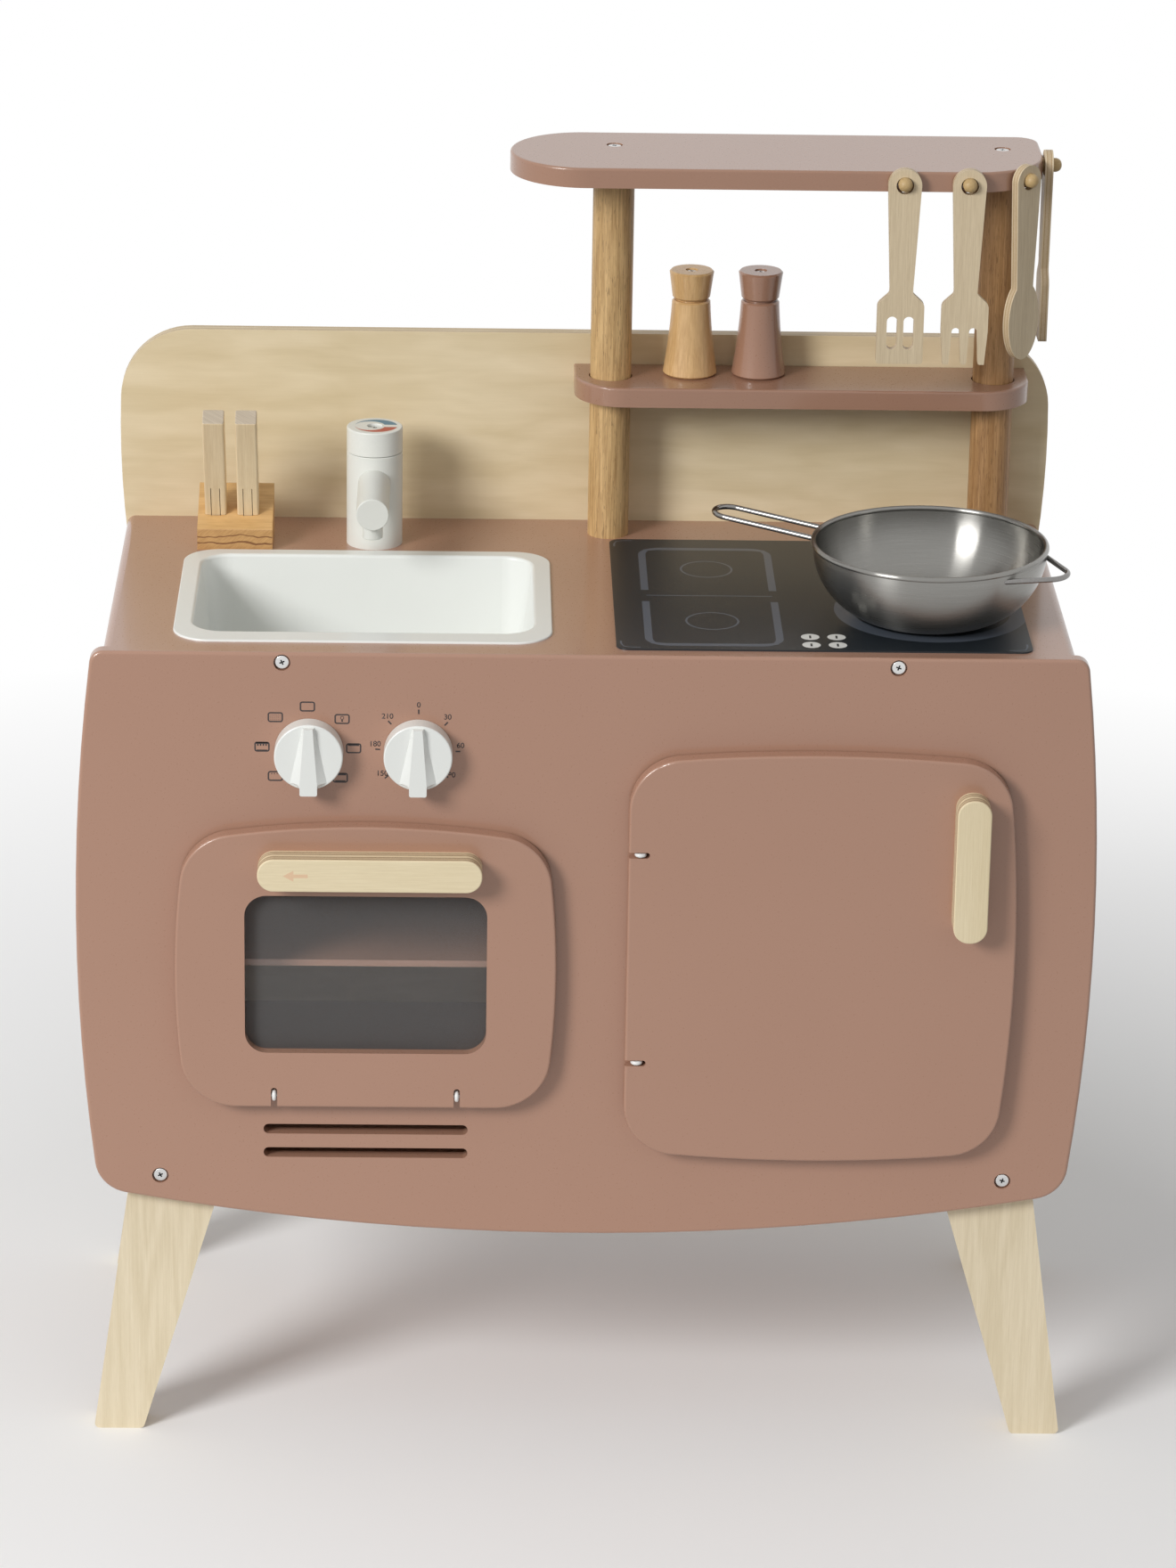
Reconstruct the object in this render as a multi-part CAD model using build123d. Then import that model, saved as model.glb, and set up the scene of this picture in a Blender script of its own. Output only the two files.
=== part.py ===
from build123d import *
import os
from math import atan2, cos, degrees, hypot, radians, sin, sqrt

# Toy kitchen of painted and natural board on four splayed legs, with a sink, a hob, an oven and a
# cupboard, a raised shelf on two posts, and loose cookware. Sizes are in millimetres. X runs to the
# right, Y away from the person at the front and Z up. The origin is on the floor under the middle.

# Boards and the fits between them
plate_thickness = 9.0
board_thickness = 12.0
back_thickness = 9.0
door_thickness = 9.0
door_gap = 1.5
handle_thickness = 15.0
edge_round = 1.5
fine_round = 0.8
plate_edge_round = 2.0
loose_fit = 0.3
snug_fit = 0.05
groove_depth = 4.0
cut_over = 1.0
hair = 0.01

# Cabinet
leg_height = 167.0
counter_height = 504.0
cabinet_depth = 248.0
counter_half_width = 282.5
counter_side_round = 5.0
divider_x = 3.6

# Front plate: the sides and the lower edge bow outwards
plate_overhang = 17.5
plate_side_bow = 11.1
plate_lower_bow = 27.8
plate_corner_drop = 2.9
plate_top_corner = 8.0
plate_lower_corner = 22.0

# Back panel
back_rise = 120.0
back_bow = 3.5
back_corner = 44.0

# Legs
leg_thickness = 20.0
foot_outset = 12.0
foot_width = 30.0
leg_outer_lean = 0.144
leg_inner_lean = 0.296
foot_round = 3.0

# Oven door, its opening and the window
oven_x = -129.5
oven_door_rise = 55.5
oven_door_half_width = 112.2
oven_door_side_bow = 6.7
oven_door_height = 178.1
oven_door_top_bow = 10.0
oven_door_corner = 33.0
oven_opening_half_width = 90.0
oven_opening_rise = 20.3
oven_opening_height = 131.0
opening_corner = 15.0
window_width = 142.3
window_height = 99.7
window_rise = 35.1
window_corner = 13.0
pane_thickness = 2.0
pane_lap = 5.0
oven_shelf_rise = 133.0
oven_shelf_thickness = 4.0
oven_shelf_setback = 13.0

# Cupboard door and its opening
cupboard_left = 23.8
cupboard_door_rise = 22.8
cupboard_door_width = 229.1
cupboard_door_height = 257.3
cupboard_side_bow = 8.2
cupboard_end_bow = 6.3
cupboard_corner = 32.0
cupboard_opening_side = 19.2
cupboard_opening_end = 18.2
cupboard_opening_width = 187.0

# Hinges: a wire eye in the plate holds a pin laid in a groove in the door's back
hinge_edge = 7.0
hinge_standoff = 7.8
eye_wire = 2.4
eye_diameter = 7.2
eye_anchor = 7.0
hinge_pin_length = 26.0
slot_width = 3.7
slot_length = 12.5
eye_hole_spare = 0.5
oven_hinge_spacing = 108.2
cupboard_hinge_spacing = 131.8

# Handles
handle_width = 20.0
oven_handle_length = 131.0
oven_handle_drop = 25.0
oven_handle_shift = 2.5
cupboard_handle_length = 89.0
cupboard_handle_side = 28.9
cupboard_handle_drop = 66.1
handle_end_round = 9.5

# Magnet catches
magnet_diameter = 8.0
magnet_thickness = 4.0
catch_inset = 13.0

# Vent slots under the oven
vent_length = 121.6
vent_height = 6.3
vent_drop = 18.5
vent_spacing = 15.2
vent_count = 2

# Knobs
knob_radius = 20.0
knob_depth = 12.0
knob_spacing = 63.5
knob_drop = 60.0
knob_x = -131.2
knob_ridge_height = 3.5
knob_ridge_top = 5.0
knob_ridge_bottom = 10.2
knob_ridge_flare = 6.0
knob_ridge_foot = 1.0
knob_ridge_inset = 1.5
knob_nub = 2.6
knob_nub_floor = 3.0
knob_nub_round = 1.2
knob_edge_round = 1.0
knob_screw_hole = 9.0

# Sink
sink_x = -132.5
sink_width = 221.5
sink_depth_y = 170.0
sink_front_gap = 9.7
sink_rim_side = 11.0
sink_rim_front = 17.0
sink_rim_rear = 10.0
sink_rim_thickness = 1.2
sink_corner = 22.0
sink_inner_corner = 18.0
sink_basin_depth = 65.0
sink_wall = 2.0
sink_cutout_gap = 2.0
sink_rim_round = 0.7
sink_draft = 7.0
sink_floor_round = 9.0
sink_lip_round = 2.0

# Hob
hob_x = 136.3
hob_width = 242.5
hob_depth = 205.5
hob_front_gap = 1.5
hob_thickness = 1.0
hob_corner = 7.0

# Posts and shelves
post_radius = 12.5
post_left_x = 14.5
post_spacing = 233.7
post_from_back = 25.5
post_length = 233.0
post_hole_gap = 0.75
mid_shelf_rise = 89.0
mid_shelf_depth = 54.0
mid_shelf_left = -7.4
mid_shelf_length = 277.3
mid_shelf_corner = 30.0
top_shelf_left = -48.3
top_shelf_length = 319.6
top_shelf_depth = 90.0
top_shelf_front_reach = 58.5
top_shelf_rear_corner = 13.0

# Utensils and their pegs
peg_radius = 4.2
peg_depth = 14.0
peg_reach = 11.5
peg_round = 3.8
first_peg_x = 185.3
peg_spacing = 38.4
corner_peg_angles = [42.0, 90.0]
utensil_hole = 5.2
utensil_thickness = 5.0
utensil_length = 119.5
spatula_length = 115.5
utensil_top_width = 20.0
utensil_waist_width = 14.0
utensil_head_width = 28.0
utensil_head_length = 46.5
utensil_shoulder = 9.5
utensil_neck_round = 3.0
utensil_shoulder_round = 5.0
utensil_end_round = 2.0
utensil_gap = 0.8
spoon_width = 26.0
spoon_bowl_length = 48.0
turner_slot_length = 20.3
turner_slot_width = 6.2
turner_slot_spacing = 10.0
turner_slot_rise = 9.0
tine_gap_width = 4.7
tine_gap_flare = 1.2
tine_gap_length = 22.7
tine_spacing = 10.5
tine_taper = 1.6
tine_tip_round = 1.2

# Tap
tap_x = -128.8
tap_from_back = 47.5
tap_radius = 17.0
tap_body_height = 58.4
tap_cap_height = 15.0
tap_groove = 0.5
tap_edge_round = 0.6
spout_radius = 9.8
spout_reach = 58.5
spout_rise = 41.0
spout_seat = 8.0
nozzle_radius = 6.0
nozzle_setback = 12.0
nozzle_drop = 8.0
nozzle_seat = 4.0
cap_recess_radius = 4.75
cap_recess_depth = 4.0

# Knife block and knives
block_x = -213.4
block_width = 45.6
block_depth = 38.5
block_from_back = 28.0
block_front_height = 13.0
block_rear_height = 31.5
block_round = 1.0
knife_spacing = 19.6
knife_shift = -2.1
knife_from_middle = 2.5
knife_handle_width = 13.0
knife_handle_depth = 12.6
knife_handle_length = 75.0
knife_handle_round = 1.2
knife_end_round = 0.8
blade_thickness = 5.0
blade_width = 12.2
blade_tip_round = 4.0
blade_seat = 15.0
blade_in_handle = 22.0
blade_slot_gap = 0.5
blade_side_gap = 0.4

# Shakers
shaker_x = 63.0
shaker_spacing = 42.0
shaker_from_back = 18.5
shaker_base_radius = 16.5
shaker_waist_radius = 13.2
shaker_neck_radius = 11.7
shaker_body_height = 46.4
shaker_waist_height = 25.5
shaker_edge = 1.0
shaker_groove = 1.2
shaker_groove_radius = 9.0
shaker_cap_bottom_radius = 11.5
shaker_cap_top_radius = 13.5
shaker_cap_height = 17.2
shaker_recess_radius = 3.8
shaker_recess_depth = 3.0
shaker_screw_head_radius = 3.3
shaker_screw_head_height = 1.8

# Pan
pan_x = 63.7
pan_y = -39.5
pan_rim_radius = 69.2
pan_base_radius = 32.0
pan_height = 45.0
pan_belly_radius = 60.0
pan_belly_height = 17.0
pan_wall = 1.2
pan_bead_radius = 1.6
pan_wire_radius = 1.6
pan_wire_run_in = 6.0
pan_handle_angle = 156.0
pan_handle_reach = 136.0
pan_handle_gap = 20.4
pan_handle_drop = 3.6
pan_handle_slope = 5.2
pan_loop_angle = -30.0
pan_loop_half_angle = 36.0
pan_loop_reach = 95.0
pan_loop_drop = 5.0
pan_loop_bend = 13.0

# Screws
screw_shank_radius = 2.0
pan_head_radius = 4.2
pan_head_height = 2.4
counterbore_radius = 4.9
counterbore_depth = 3.2
flat_head_radius = 3.8
flat_head_height = 2.0
upper_screw_from_side = 104.0
lower_screw_from_side = 30.5
leg_screw_spacing = 30.0
oven_handle_screw_spacing = 89.0
cupboard_handle_screw_spacing = 53.0
side_screw_spacing = 109.0
shelf_screw_spacing = 138.0
block_screw_from_rear = 30.0
front_screw_length = 26.0
back_screw_length = 28.0
short_screw_length = 22.0
handle_screw_length = 18.0
strike_screw_length = 7.0
knob_screw_length = 17.0
turning_screw_grip = 12.0

# Levels and depths that follow from the sizes above
overall_depth = (handle_thickness + door_thickness + door_gap + plate_thickness
                 + cabinet_depth + back_thickness)
plate_front = handle_thickness + door_thickness + door_gap - overall_depth / 2
plate_back = plate_front + plate_thickness
door_back = plate_front - door_gap
door_front = door_back - door_thickness
handle_front = door_front - handle_thickness
back_front = plate_back + cabinet_depth
counter_bottom = counter_height - board_thickness
floor_top = leg_height + board_thickness
side_inner = counter_half_width - board_thickness
plate_half_width = counter_half_width + plate_overhang
foot_outer = counter_half_width + foot_outset
foot_inner = foot_outer - foot_width
post_y = back_front - post_from_back
post_xs = [post_left_x, post_left_x + post_spacing]
hinge_y = plate_front - hinge_standoff
oven_door_bottom = leg_height + oven_door_rise
oven_hinge_z = oven_door_bottom + hinge_edge
oven_hinge_xs = [oven_x - oven_hinge_spacing / 2, oven_x + oven_hinge_spacing / 2]
oven_opening_bottom = oven_door_bottom + oven_opening_rise
oven_catch_z = oven_door_bottom + oven_door_height - catch_inset
cupboard_bottom = leg_height + cupboard_door_rise
cupboard_middle = cupboard_bottom + cupboard_door_height / 2
cupboard_hinge_x = cupboard_left + hinge_edge
cupboard_hinge_zs = [cupboard_middle - cupboard_hinge_spacing / 2,
                     cupboard_middle + cupboard_hinge_spacing / 2]
cupboard_right = cupboard_left + cupboard_door_width
cupboard_catch_x = cupboard_right - catch_inset
hinge_pin_radius = eye_diameter / 2 - eye_wire - snug_fit
top_shelf_bottom = counter_height + post_length
top_shelf_front = post_y - top_shelf_front_reach
mid_shelf_bottom = counter_height + mid_shelf_rise
mid_shelf_top = mid_shelf_bottom + board_thickness
hob_y = plate_back + hob_front_gap + hob_depth / 2
knob_xs = [knob_x - knob_spacing / 2, knob_x + knob_spacing / 2]
knob_z = counter_height - knob_drop
oven_shelf_bottom = leg_height + oven_shelf_rise


def bowed_outline(corners, bows, radii):
    """Face with four sides, each bowed outwards by its bow; corners run anticlockwise."""
    sides = []
    for start, end, bow in zip(corners, corners[1:] + corners[:1], bows):
        if bow == 0:
            sides.append(Line(start, end))
            continue
        run_x = end[0] - start[0]
        run_y = end[1] - start[1]
        run = hypot(run_x, run_y)
        middle_x = (start[0] + end[0]) / 2 + bow * run_y / run
        middle_y = (start[1] + end[1]) / 2 - bow * run_x / run
        sides.append(ThreePointArc(start, (middle_x, middle_y), end))
    face = make_face(sides)
    for corner, radius in zip(corners, radii):
        if radius > 0:
            face = fillet(face.vertices().sort_by_distance(corner)[0], radius)
    return face


def box_outline(left, right, bottom, top, radii):
    """Rectangle between two X and two height limits, with a radius for each corner."""
    corners = [(left, bottom), (right, bottom), (right, top), (left, top)]
    return bowed_outline(corners, [0] * 4, radii)


def upright_board(outline, front, thickness):
    """Board parallel to the front, drawn in X and Z, with its front face at Y = front."""
    return extrude(Plane.XZ.offset(-(front + thickness)) * outline, thickness)


def flat_board(outline, bottom, thickness):
    """Level board, drawn in X and Y."""
    return extrude(Plane.XY.offset(bottom) * outline, thickness)


def block(x_limits, y_limits, z_limits):
    """Plain box between three pairs of limits."""
    size = [high - low for low, high in (x_limits, y_limits, z_limits)]
    middle = [(high + low) / 2 for low, high in (x_limits, y_limits, z_limits)]
    return Pos(*middle) * Box(*size)


def rod(start, direction, radius, length):
    """Cylinder that runs from a point along a direction."""
    standing = Cylinder(radius, length, align=(Align.CENTER, Align.CENTER, Align.MIN))
    return Plane(origin=start, z_dir=direction) * standing


def soften(solid, axis, end, radius):
    """Round the outer edges of the face at one end of a board."""
    face = solid.faces().sort_by(axis)[end]
    return fillet(face.outer_wire().edges(), radius)


def pan_head_screw(length):
    """Screw with its head's top at the origin and its shank running down."""
    head = rod((0, 0, -pan_head_height), (0, 0, 1), pan_head_radius, pan_head_height)
    head = fillet(head.edges().sort_by(Axis.Z)[-1], fine_round)
    shank = rod((0, 0, -pan_head_height), (0, 0, -1), screw_shank_radius, length)
    return head + shank


def flat_head_screw(length):
    """Countersunk screw, flush with the face at the origin, shank running down."""
    profile = Polyline((0, 0), (flat_head_radius, 0), (screw_shank_radius, -flat_head_height),
                       (screw_shank_radius, -length), (0, -length), close=True)
    return revolve(Plane.XZ * make_face(profile), Axis.Z)


def flat_head_hole(length):
    """Room for the countersunk screw, with a snug clearance all round."""
    head = flat_head_radius + snug_fit
    shank = screw_shank_radius + snug_fit
    low = -length - cut_over
    profile = Polyline((0, cut_over), (head, cut_over), (head, 0), (shank, -flat_head_height),
                       (shank, low), (0, low), close=True)
    return revolve(Plane.XZ * make_face(profile), Axis.Z)


def seated(shape, point, outward):
    """Stand a shape made along Z on a face point, looking along its outward direction."""
    return Plane(origin=point, z_dir=outward) * shape


def counterbore_hole(length):
    """Counterbore from the face at the origin with a through hole below it."""
    bore = rod((0, 0, cut_over), (0, 0, -1), counterbore_radius, counterbore_depth + cut_over)
    depth = counterbore_depth + length + cut_over
    return bore + rod((0, 0, 0), (0, 0, -1), screw_shank_radius + snug_fit, depth)


def front_screw_seats():
    """Face points and outward directions of the screws that sit in counterbores."""
    upper = counter_height - board_thickness / 2
    lower = leg_height + board_thickness / 2
    upper_x = counter_half_width - upper_screw_from_side
    lower_x = counter_half_width - lower_screw_from_side
    front = [((x, plate_front, z), (0, -1, 0))
             for reach, z in ((upper_x, upper), (lower_x, lower)) for x in (-reach, reach)]
    shelf = [((x, post_y, top_shelf_bottom + board_thickness), (0, 0, 1)) for x in post_xs]
    return front + shelf


def back_screw_seats():
    """Screws through the back panel into the boards in front of it."""
    rear = back_front + back_thickness
    side_x = counter_half_width - board_thickness / 2
    side_middle = (counter_bottom + floor_top) / 2
    places = [(x, side_middle + step * side_screw_spacing) for x in (-side_x, side_x) for step in (-1, 0, 1)]
    board_zs = (leg_height + board_thickness / 2, counter_height - board_thickness / 2)
    places += [(x, z) for x in (-side_x / 2, side_x / 2) for z in board_zs]
    shelf_x = mid_shelf_left + mid_shelf_length / 2
    shelf_z = mid_shelf_bottom + board_thickness / 2
    places += [(shelf_x + step * shelf_screw_spacing / 2, shelf_z) for step in (-1, 1)]
    return [((x, rear, z), (0, 1, 0)) for x, z in places]


def leg_screw_seats():
    """Two screws down through the cabinet floor into the top of each leg."""
    middle = (foot_outer + foot_inner - (leg_outer_lean + leg_inner_lean) * leg_height) / 2
    return [((side * (middle + step * leg_screw_spacing / 2), y, floor_top), (0, 0, 1))
            for side in (-1, 1) for step in (-1, 1) for y in leg_middles()]


def leg_middles():
    """Y of the middle of the front and of the rear legs."""
    return [plate_back + leg_thickness / 2, back_front - leg_thickness / 2]


def counter_screw_seats():
    """Screws up through the counter into the posts, the tap and the knife block."""
    spots = [(x, post_y) for x in post_xs]
    spots.append((tap_x, back_front - tap_from_back))
    spots.append((block_x, back_front - block_from_back - block_screw_from_rear))
    return [((x, y, counter_bottom), (0, 0, -1)) for x, y in spots]


def drill(solid, seats, length):
    """Cut a countersunk screw's hole at each seat."""
    for point, outward in seats:
        solid -= seated(flat_head_hole(length), point, outward)
    return solid


def counterbore(solid, seats):
    """Cut a counterbored hole at each seat."""
    for point, outward in seats:
        solid -= seated(counterbore_hole(front_screw_length), point, outward)
    return solid


def front_plate():
    """Bowed front board with the oven and cupboard mouths, two vent slots and all its small holes."""
    side = plate_half_width - plate_side_bow
    low = leg_height - plate_corner_drop
    corners = [(-side, low), (side, low), (side, counter_height), (-side, counter_height)]
    outline = bowed_outline(corners, [plate_lower_bow, plate_side_bow, 0, plate_side_bow],
                            [plate_lower_corner, plate_lower_corner, plate_top_corner, plate_top_corner])
    plate = soften(upright_board(outline, plate_front, plate_thickness), Axis.Y, 0, plate_edge_round)
    start = plate_front - cut_over
    through = plate_thickness + 2 * cut_over
    for cut in [oven_mouth(), cupboard_mouth()] + vents():
        plate -= upright_board(cut, start, through)
    for x in knob_xs:
        plate -= rod((x, start, knob_z), (0, 1, 0), screw_shank_radius + snug_fit, through)
    for point, _ in eye_places():
        depth = cut_over + eye_anchor + eye_hole_spare
        plate -= rod((point[0], start, point[2]), (0, 1, 0), eye_wire / 2 + snug_fit, depth)
    for x, z in catch_places():
        plate -= rod((x, start, z), (0, 1, 0), magnet_diameter / 2 + snug_fit, cut_over + magnet_pocket())
    return counterbore(plate, front_screw_seats()[:4])


def oven_mouth():
    return box_outline(oven_x - oven_opening_half_width, oven_x + oven_opening_half_width,
                       oven_opening_bottom, oven_opening_bottom + oven_opening_height, [opening_corner] * 4)


def cupboard_mouth():
    left = cupboard_left + cupboard_opening_side
    top = cupboard_bottom + cupboard_door_height - cupboard_opening_end
    return box_outline(left, left + cupboard_opening_width, cupboard_bottom + cupboard_opening_end, top,
                       [opening_corner] * 4)


def vents():
    """Round-ended slots, one under the other."""
    slot = SlotOverall(vent_length, vent_height)
    top = oven_door_bottom - vent_drop
    return [Pos(oven_x, top - row * vent_spacing) * slot for row in range(vent_count)]


def magnet_pocket():
    """Depth of the magnet's pocket: the magnet stands out almost as far as the door."""
    return magnet_thickness - door_gap + loose_fit


def catch_places():
    """X and Z of the oven catch and the cupboard catch."""
    return [(oven_x, oven_catch_z), (cupboard_catch_x, cupboard_middle)]


def eye_places():
    """Middle of each wire eye, with the direction of its pin."""
    oven = [((x, hinge_y, oven_hinge_z), (1, 0, 0)) for x in oven_hinge_xs]
    cupboard = [((cupboard_hinge_x, hinge_y, z), (0, 0, 1)) for z in cupboard_hinge_zs]
    return oven + cupboard


def hinge_eyes():
    """Ring round the pin with a shank that is fixed in the plate."""
    ring_radius = (eye_diameter - eye_wire) / 2
    eyes = []
    for point, along in eye_places():
        ring = Plane(origin=point, z_dir=along) * Torus(ring_radius, eye_wire / 2)
        start = (point[0], point[1] + ring_radius, point[2])
        eyes.append(ring + rod(start, (0, 1, 0), eye_wire / 2, hinge_standoff - ring_radius + eye_anchor))
    return Compound(children=eyes)


def hinge_pins(places):
    """Short pins that lie along the hinge line, one through each eye."""
    pins = []
    for point, along in places:
        start = Vector(*point) - Vector(*along) * (hinge_pin_length / 2)
        pins.append(rod(start, along, hinge_pin_radius, hinge_pin_length))
    return Compound(children=pins)


def pin_groove(point, along):
    """Groove from the door's back that the pin is laid in."""
    reach = hinge_pin_length / 2 + snug_fit
    radius = hinge_pin_radius + snug_fit
    half = [reach if part else radius for part in along]
    channel = block((point[0] - half[0], point[0] + half[0]), (point[1], door_back + cut_over),
                    (point[2] - half[2], point[2] + half[2]))
    start = Vector(*point) - Vector(*along) * reach
    return channel + rod(start, along, radius, 2 * reach)


def eye_slot(point, out_of_edge):
    """Slot through the door, open at its hinge edge, that the eye stands in."""
    inner = slot_length - hinge_edge - slot_width / 2
    slot = Pos(0, inner) * Circle(slot_width / 2)
    outer = hinge_edge + cut_over
    slot += Pos(0, (inner - outer) / 2) * Rectangle(slot_width, inner + outer)
    turned = Rot(0, 0, 0) if out_of_edge == "down" else Rot(0, 0, -90)
    return through_door(Pos(point[0], point[2]) * (turned * slot))


def through_door(outline):
    """Cutter that passes through both faces of a door."""
    return upright_board(outline, door_front - cut_over, door_thickness + 2 * cut_over)


def rounded_over(point, along, limits):
    """What comes off the back of the hinge edge so that it rolls past the plate."""
    behind = (point[1], door_back + cut_over)
    outer = hinge_edge + cut_over
    if along == (1, 0, 0):
        waste = block(limits, behind, (point[2] - outer, point[2]))
        start = (limits[0] - cut_over, point[1], point[2])
    else:
        waste = block((point[0] - outer, point[0]), behind, limits)
        start = (point[0], point[1], limits[0] - cut_over)
    return waste - rod(start, along, hinge_edge, limits[1] - limits[0] + 2 * cut_over)


def hung_door(door, places, out_of_edge, limits):
    """Cut the hinge edge, the eye slots and the pin grooves into a door."""
    point, along = places[0]
    door -= rounded_over(point, along, limits)
    for place, direction in places:
        door -= eye_slot(place, out_of_edge)
        door -= pin_groove(place, direction)
    return door


def oven_door():
    """Door that drops forwards on its lower edge, with a rebate behind for the pane."""
    left = oven_x - oven_door_half_width + oven_door_side_bow
    right = oven_x + oven_door_half_width - oven_door_side_bow
    top = oven_door_bottom + oven_door_height - oven_door_top_bow
    corners = [(left, oven_door_bottom), (right, oven_door_bottom), (right, top), (left, top)]
    outline = bowed_outline(corners, [0, oven_door_side_bow, oven_door_top_bow, oven_door_side_bow],
                            [oven_door_corner] * 4)
    door = soften(upright_board(outline, door_front, door_thickness), Axis.Y, 0, edge_round)
    door -= through_door(window_outline(0))
    rebate = pane_thickness + loose_fit
    door -= upright_board(window_outline(pane_lap), door_back - rebate, rebate + cut_over)
    bow = oven_door_side_bow + cut_over
    door = hung_door(door, eye_places()[:2], "down", (left - bow, right + bow))
    door = drill(door, oven_handle_seats(), handle_screw_length)
    return drill(door, [oven_strike_seat()], strike_screw_length)


def oven_strike_seat():
    """Seat of the steel screw that the oven magnet holds."""
    return (oven_x, door_back, oven_catch_z), (0, 1, 0)


def window_outline(grow):
    """Rounded outline of the window, grown all round."""
    half = window_width / 2 + grow
    bottom = oven_door_bottom + window_rise
    return box_outline(oven_x - half, oven_x + half, bottom - grow, bottom + window_height + grow,
                       [window_corner + grow] * 4)


def oven_window():
    """Flat pane, a little smaller than the rebate that it lies in."""
    spare = loose_fit / 2
    return upright_board(window_outline(pane_lap - spare), door_back - pane_thickness - spare, pane_thickness)


def oven_handle_z():
    return oven_door_bottom + oven_door_height - oven_handle_drop


def oven_handle_seats():
    """Handle screws go in from the back of the door."""
    middle = oven_x + oven_handle_shift
    reach = oven_handle_screw_spacing / 2
    return [((middle + side * reach, door_back, oven_handle_z()), (0, 1, 0)) for side in (-1, 1)]


def oven_handle():
    bar = RectangleRounded(oven_handle_length, handle_width, handle_end_round)
    outline = Pos(oven_x + oven_handle_shift, oven_handle_z()) * bar
    grip = soften(upright_board(outline, handle_front, handle_thickness), Axis.Y, 0, fine_round)
    return drill(grip, oven_handle_seats(), handle_screw_length)


def oven_door_screws():
    screws = [seated(flat_head_screw(handle_screw_length), *seat) for seat in oven_handle_seats()]
    screws.append(seated(flat_head_screw(strike_screw_length), *oven_strike_seat()))
    return Compound(children=screws)


def cupboard_door():
    """Door hung on its left edge; its other three edges bow outwards."""
    right = cupboard_right - cupboard_side_bow
    low = cupboard_bottom + cupboard_end_bow
    high = cupboard_bottom + cupboard_door_height - cupboard_end_bow
    corners = [(cupboard_left, low), (right, low), (right, high), (cupboard_left, high)]
    outline = bowed_outline(corners, [cupboard_end_bow, cupboard_side_bow, cupboard_end_bow, 0],
                            [cupboard_corner] * 4)
    door = soften(upright_board(outline, door_front, door_thickness), Axis.Y, 0, edge_round)
    bow = cupboard_end_bow + cut_over
    door = hung_door(door, eye_places()[2:], "left", (low - bow, high + bow))
    door = drill(door, cupboard_handle_seats(), handle_screw_length)
    return drill(door, [cupboard_strike_seat()], strike_screw_length)


def cupboard_strike_seat():
    """Seat of the steel screw that the cupboard magnet holds."""
    return (cupboard_catch_x, door_back, cupboard_middle), (0, 1, 0)


def cupboard_handle_place():
    """X and Z of the middle of the upright handle."""
    door_top = cupboard_bottom + cupboard_door_height
    return cupboard_right - cupboard_handle_side, door_top - cupboard_handle_drop


def cupboard_handle_seats():
    x, z = cupboard_handle_place()
    reach = cupboard_handle_screw_spacing / 2
    return [((x, door_back, z + side * reach), (0, 1, 0)) for side in (-1, 1)]


def cupboard_handle():
    bar = RectangleRounded(handle_width, cupboard_handle_length, handle_end_round)
    outline = Pos(*cupboard_handle_place()) * bar
    grip = soften(upright_board(outline, handle_front, handle_thickness), Axis.Y, 0, fine_round)
    return drill(grip, cupboard_handle_seats(), handle_screw_length)


def cupboard_door_screws():
    screws = [seated(flat_head_screw(handle_screw_length), *seat) for seat in cupboard_handle_seats()]
    screws.append(seated(flat_head_screw(strike_screw_length), *cupboard_strike_seat()))
    return Compound(children=screws)


def door_magnets():
    """Disc magnets set in the plate, facing the steel screw head in each door."""
    start = plate_front - door_gap + loose_fit
    return Compound(children=[rod((x, start, z), (0, 1, 0), magnet_diameter / 2, magnet_thickness)
                              for x, z in catch_places()])


def counter_top():
    outline = box_outline(-counter_half_width, counter_half_width, plate_back, back_front, [0] * 4)
    top = flat_board(outline, counter_bottom, board_thickness)
    sides = [edge for edge in top.edges().filter_by(Axis.Y)
             if edge.center().Z > counter_bottom + 1]
    top = fillet(sides, counter_side_round)
    top -= flat_board(sink_outline(-sink_lap()), counter_bottom - 1, board_thickness + 2)
    top = counterbore(top, front_screw_seats()[:2])
    top = drill(top, counter_screw_seats(), short_screw_length)
    return drill(top, back_screw_seats(), back_screw_length)


def sink_lap():
    """How far the sink's rim lies on the counter round the cut-out."""
    return sink_rim_side - sink_wall - sink_cutout_gap


def sink_y_limits():
    front = plate_back + sink_front_gap
    return front, front + sink_depth_y


def sink_outline(grow):
    """Rim outline in X and Y, grown or shrunk all round."""
    half = sink_width / 2 + grow
    front, rear = sink_y_limits()
    return box_outline(sink_x - half, sink_x + half, front - grow, rear + grow, [sink_corner + grow] * 4)


def tub(grow, depth):
    """Tapered tub that hangs from the counter's top, grown all round by the wall."""
    half = sink_width / 2 - sink_rim_side + grow
    front, rear = sink_y_limits()
    outline = box_outline(sink_x - half, sink_x + half, front + sink_rim_front - grow,
                          rear - sink_rim_rear + grow, [sink_inner_corner + grow] * 4)
    body = extrude(Plane.XY.offset(counter_height + sink_rim_thickness) * outline, -depth, taper=sink_draft)
    return fillet(body.faces().sort_by(Axis.Z)[0].edges(), sink_floor_round)


def sink_basin():
    """Pressed basin: a flat rim on the counter and a tub through the cut-out."""
    rim = flat_board(sink_outline(0), counter_height, sink_rim_thickness)
    rim = soften(rim, Axis.Z, -1, sink_rim_round)
    basin = rim + tub(sink_wall, sink_basin_depth + sink_rim_thickness)
    basin -= tub(0, sink_basin_depth + sink_rim_thickness - sink_wall)
    mouth = basin.faces().sort_by(Axis.Z)[-1].inner_wires()[0]
    return fillet(mouth.edges(), sink_lip_round)


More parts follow.
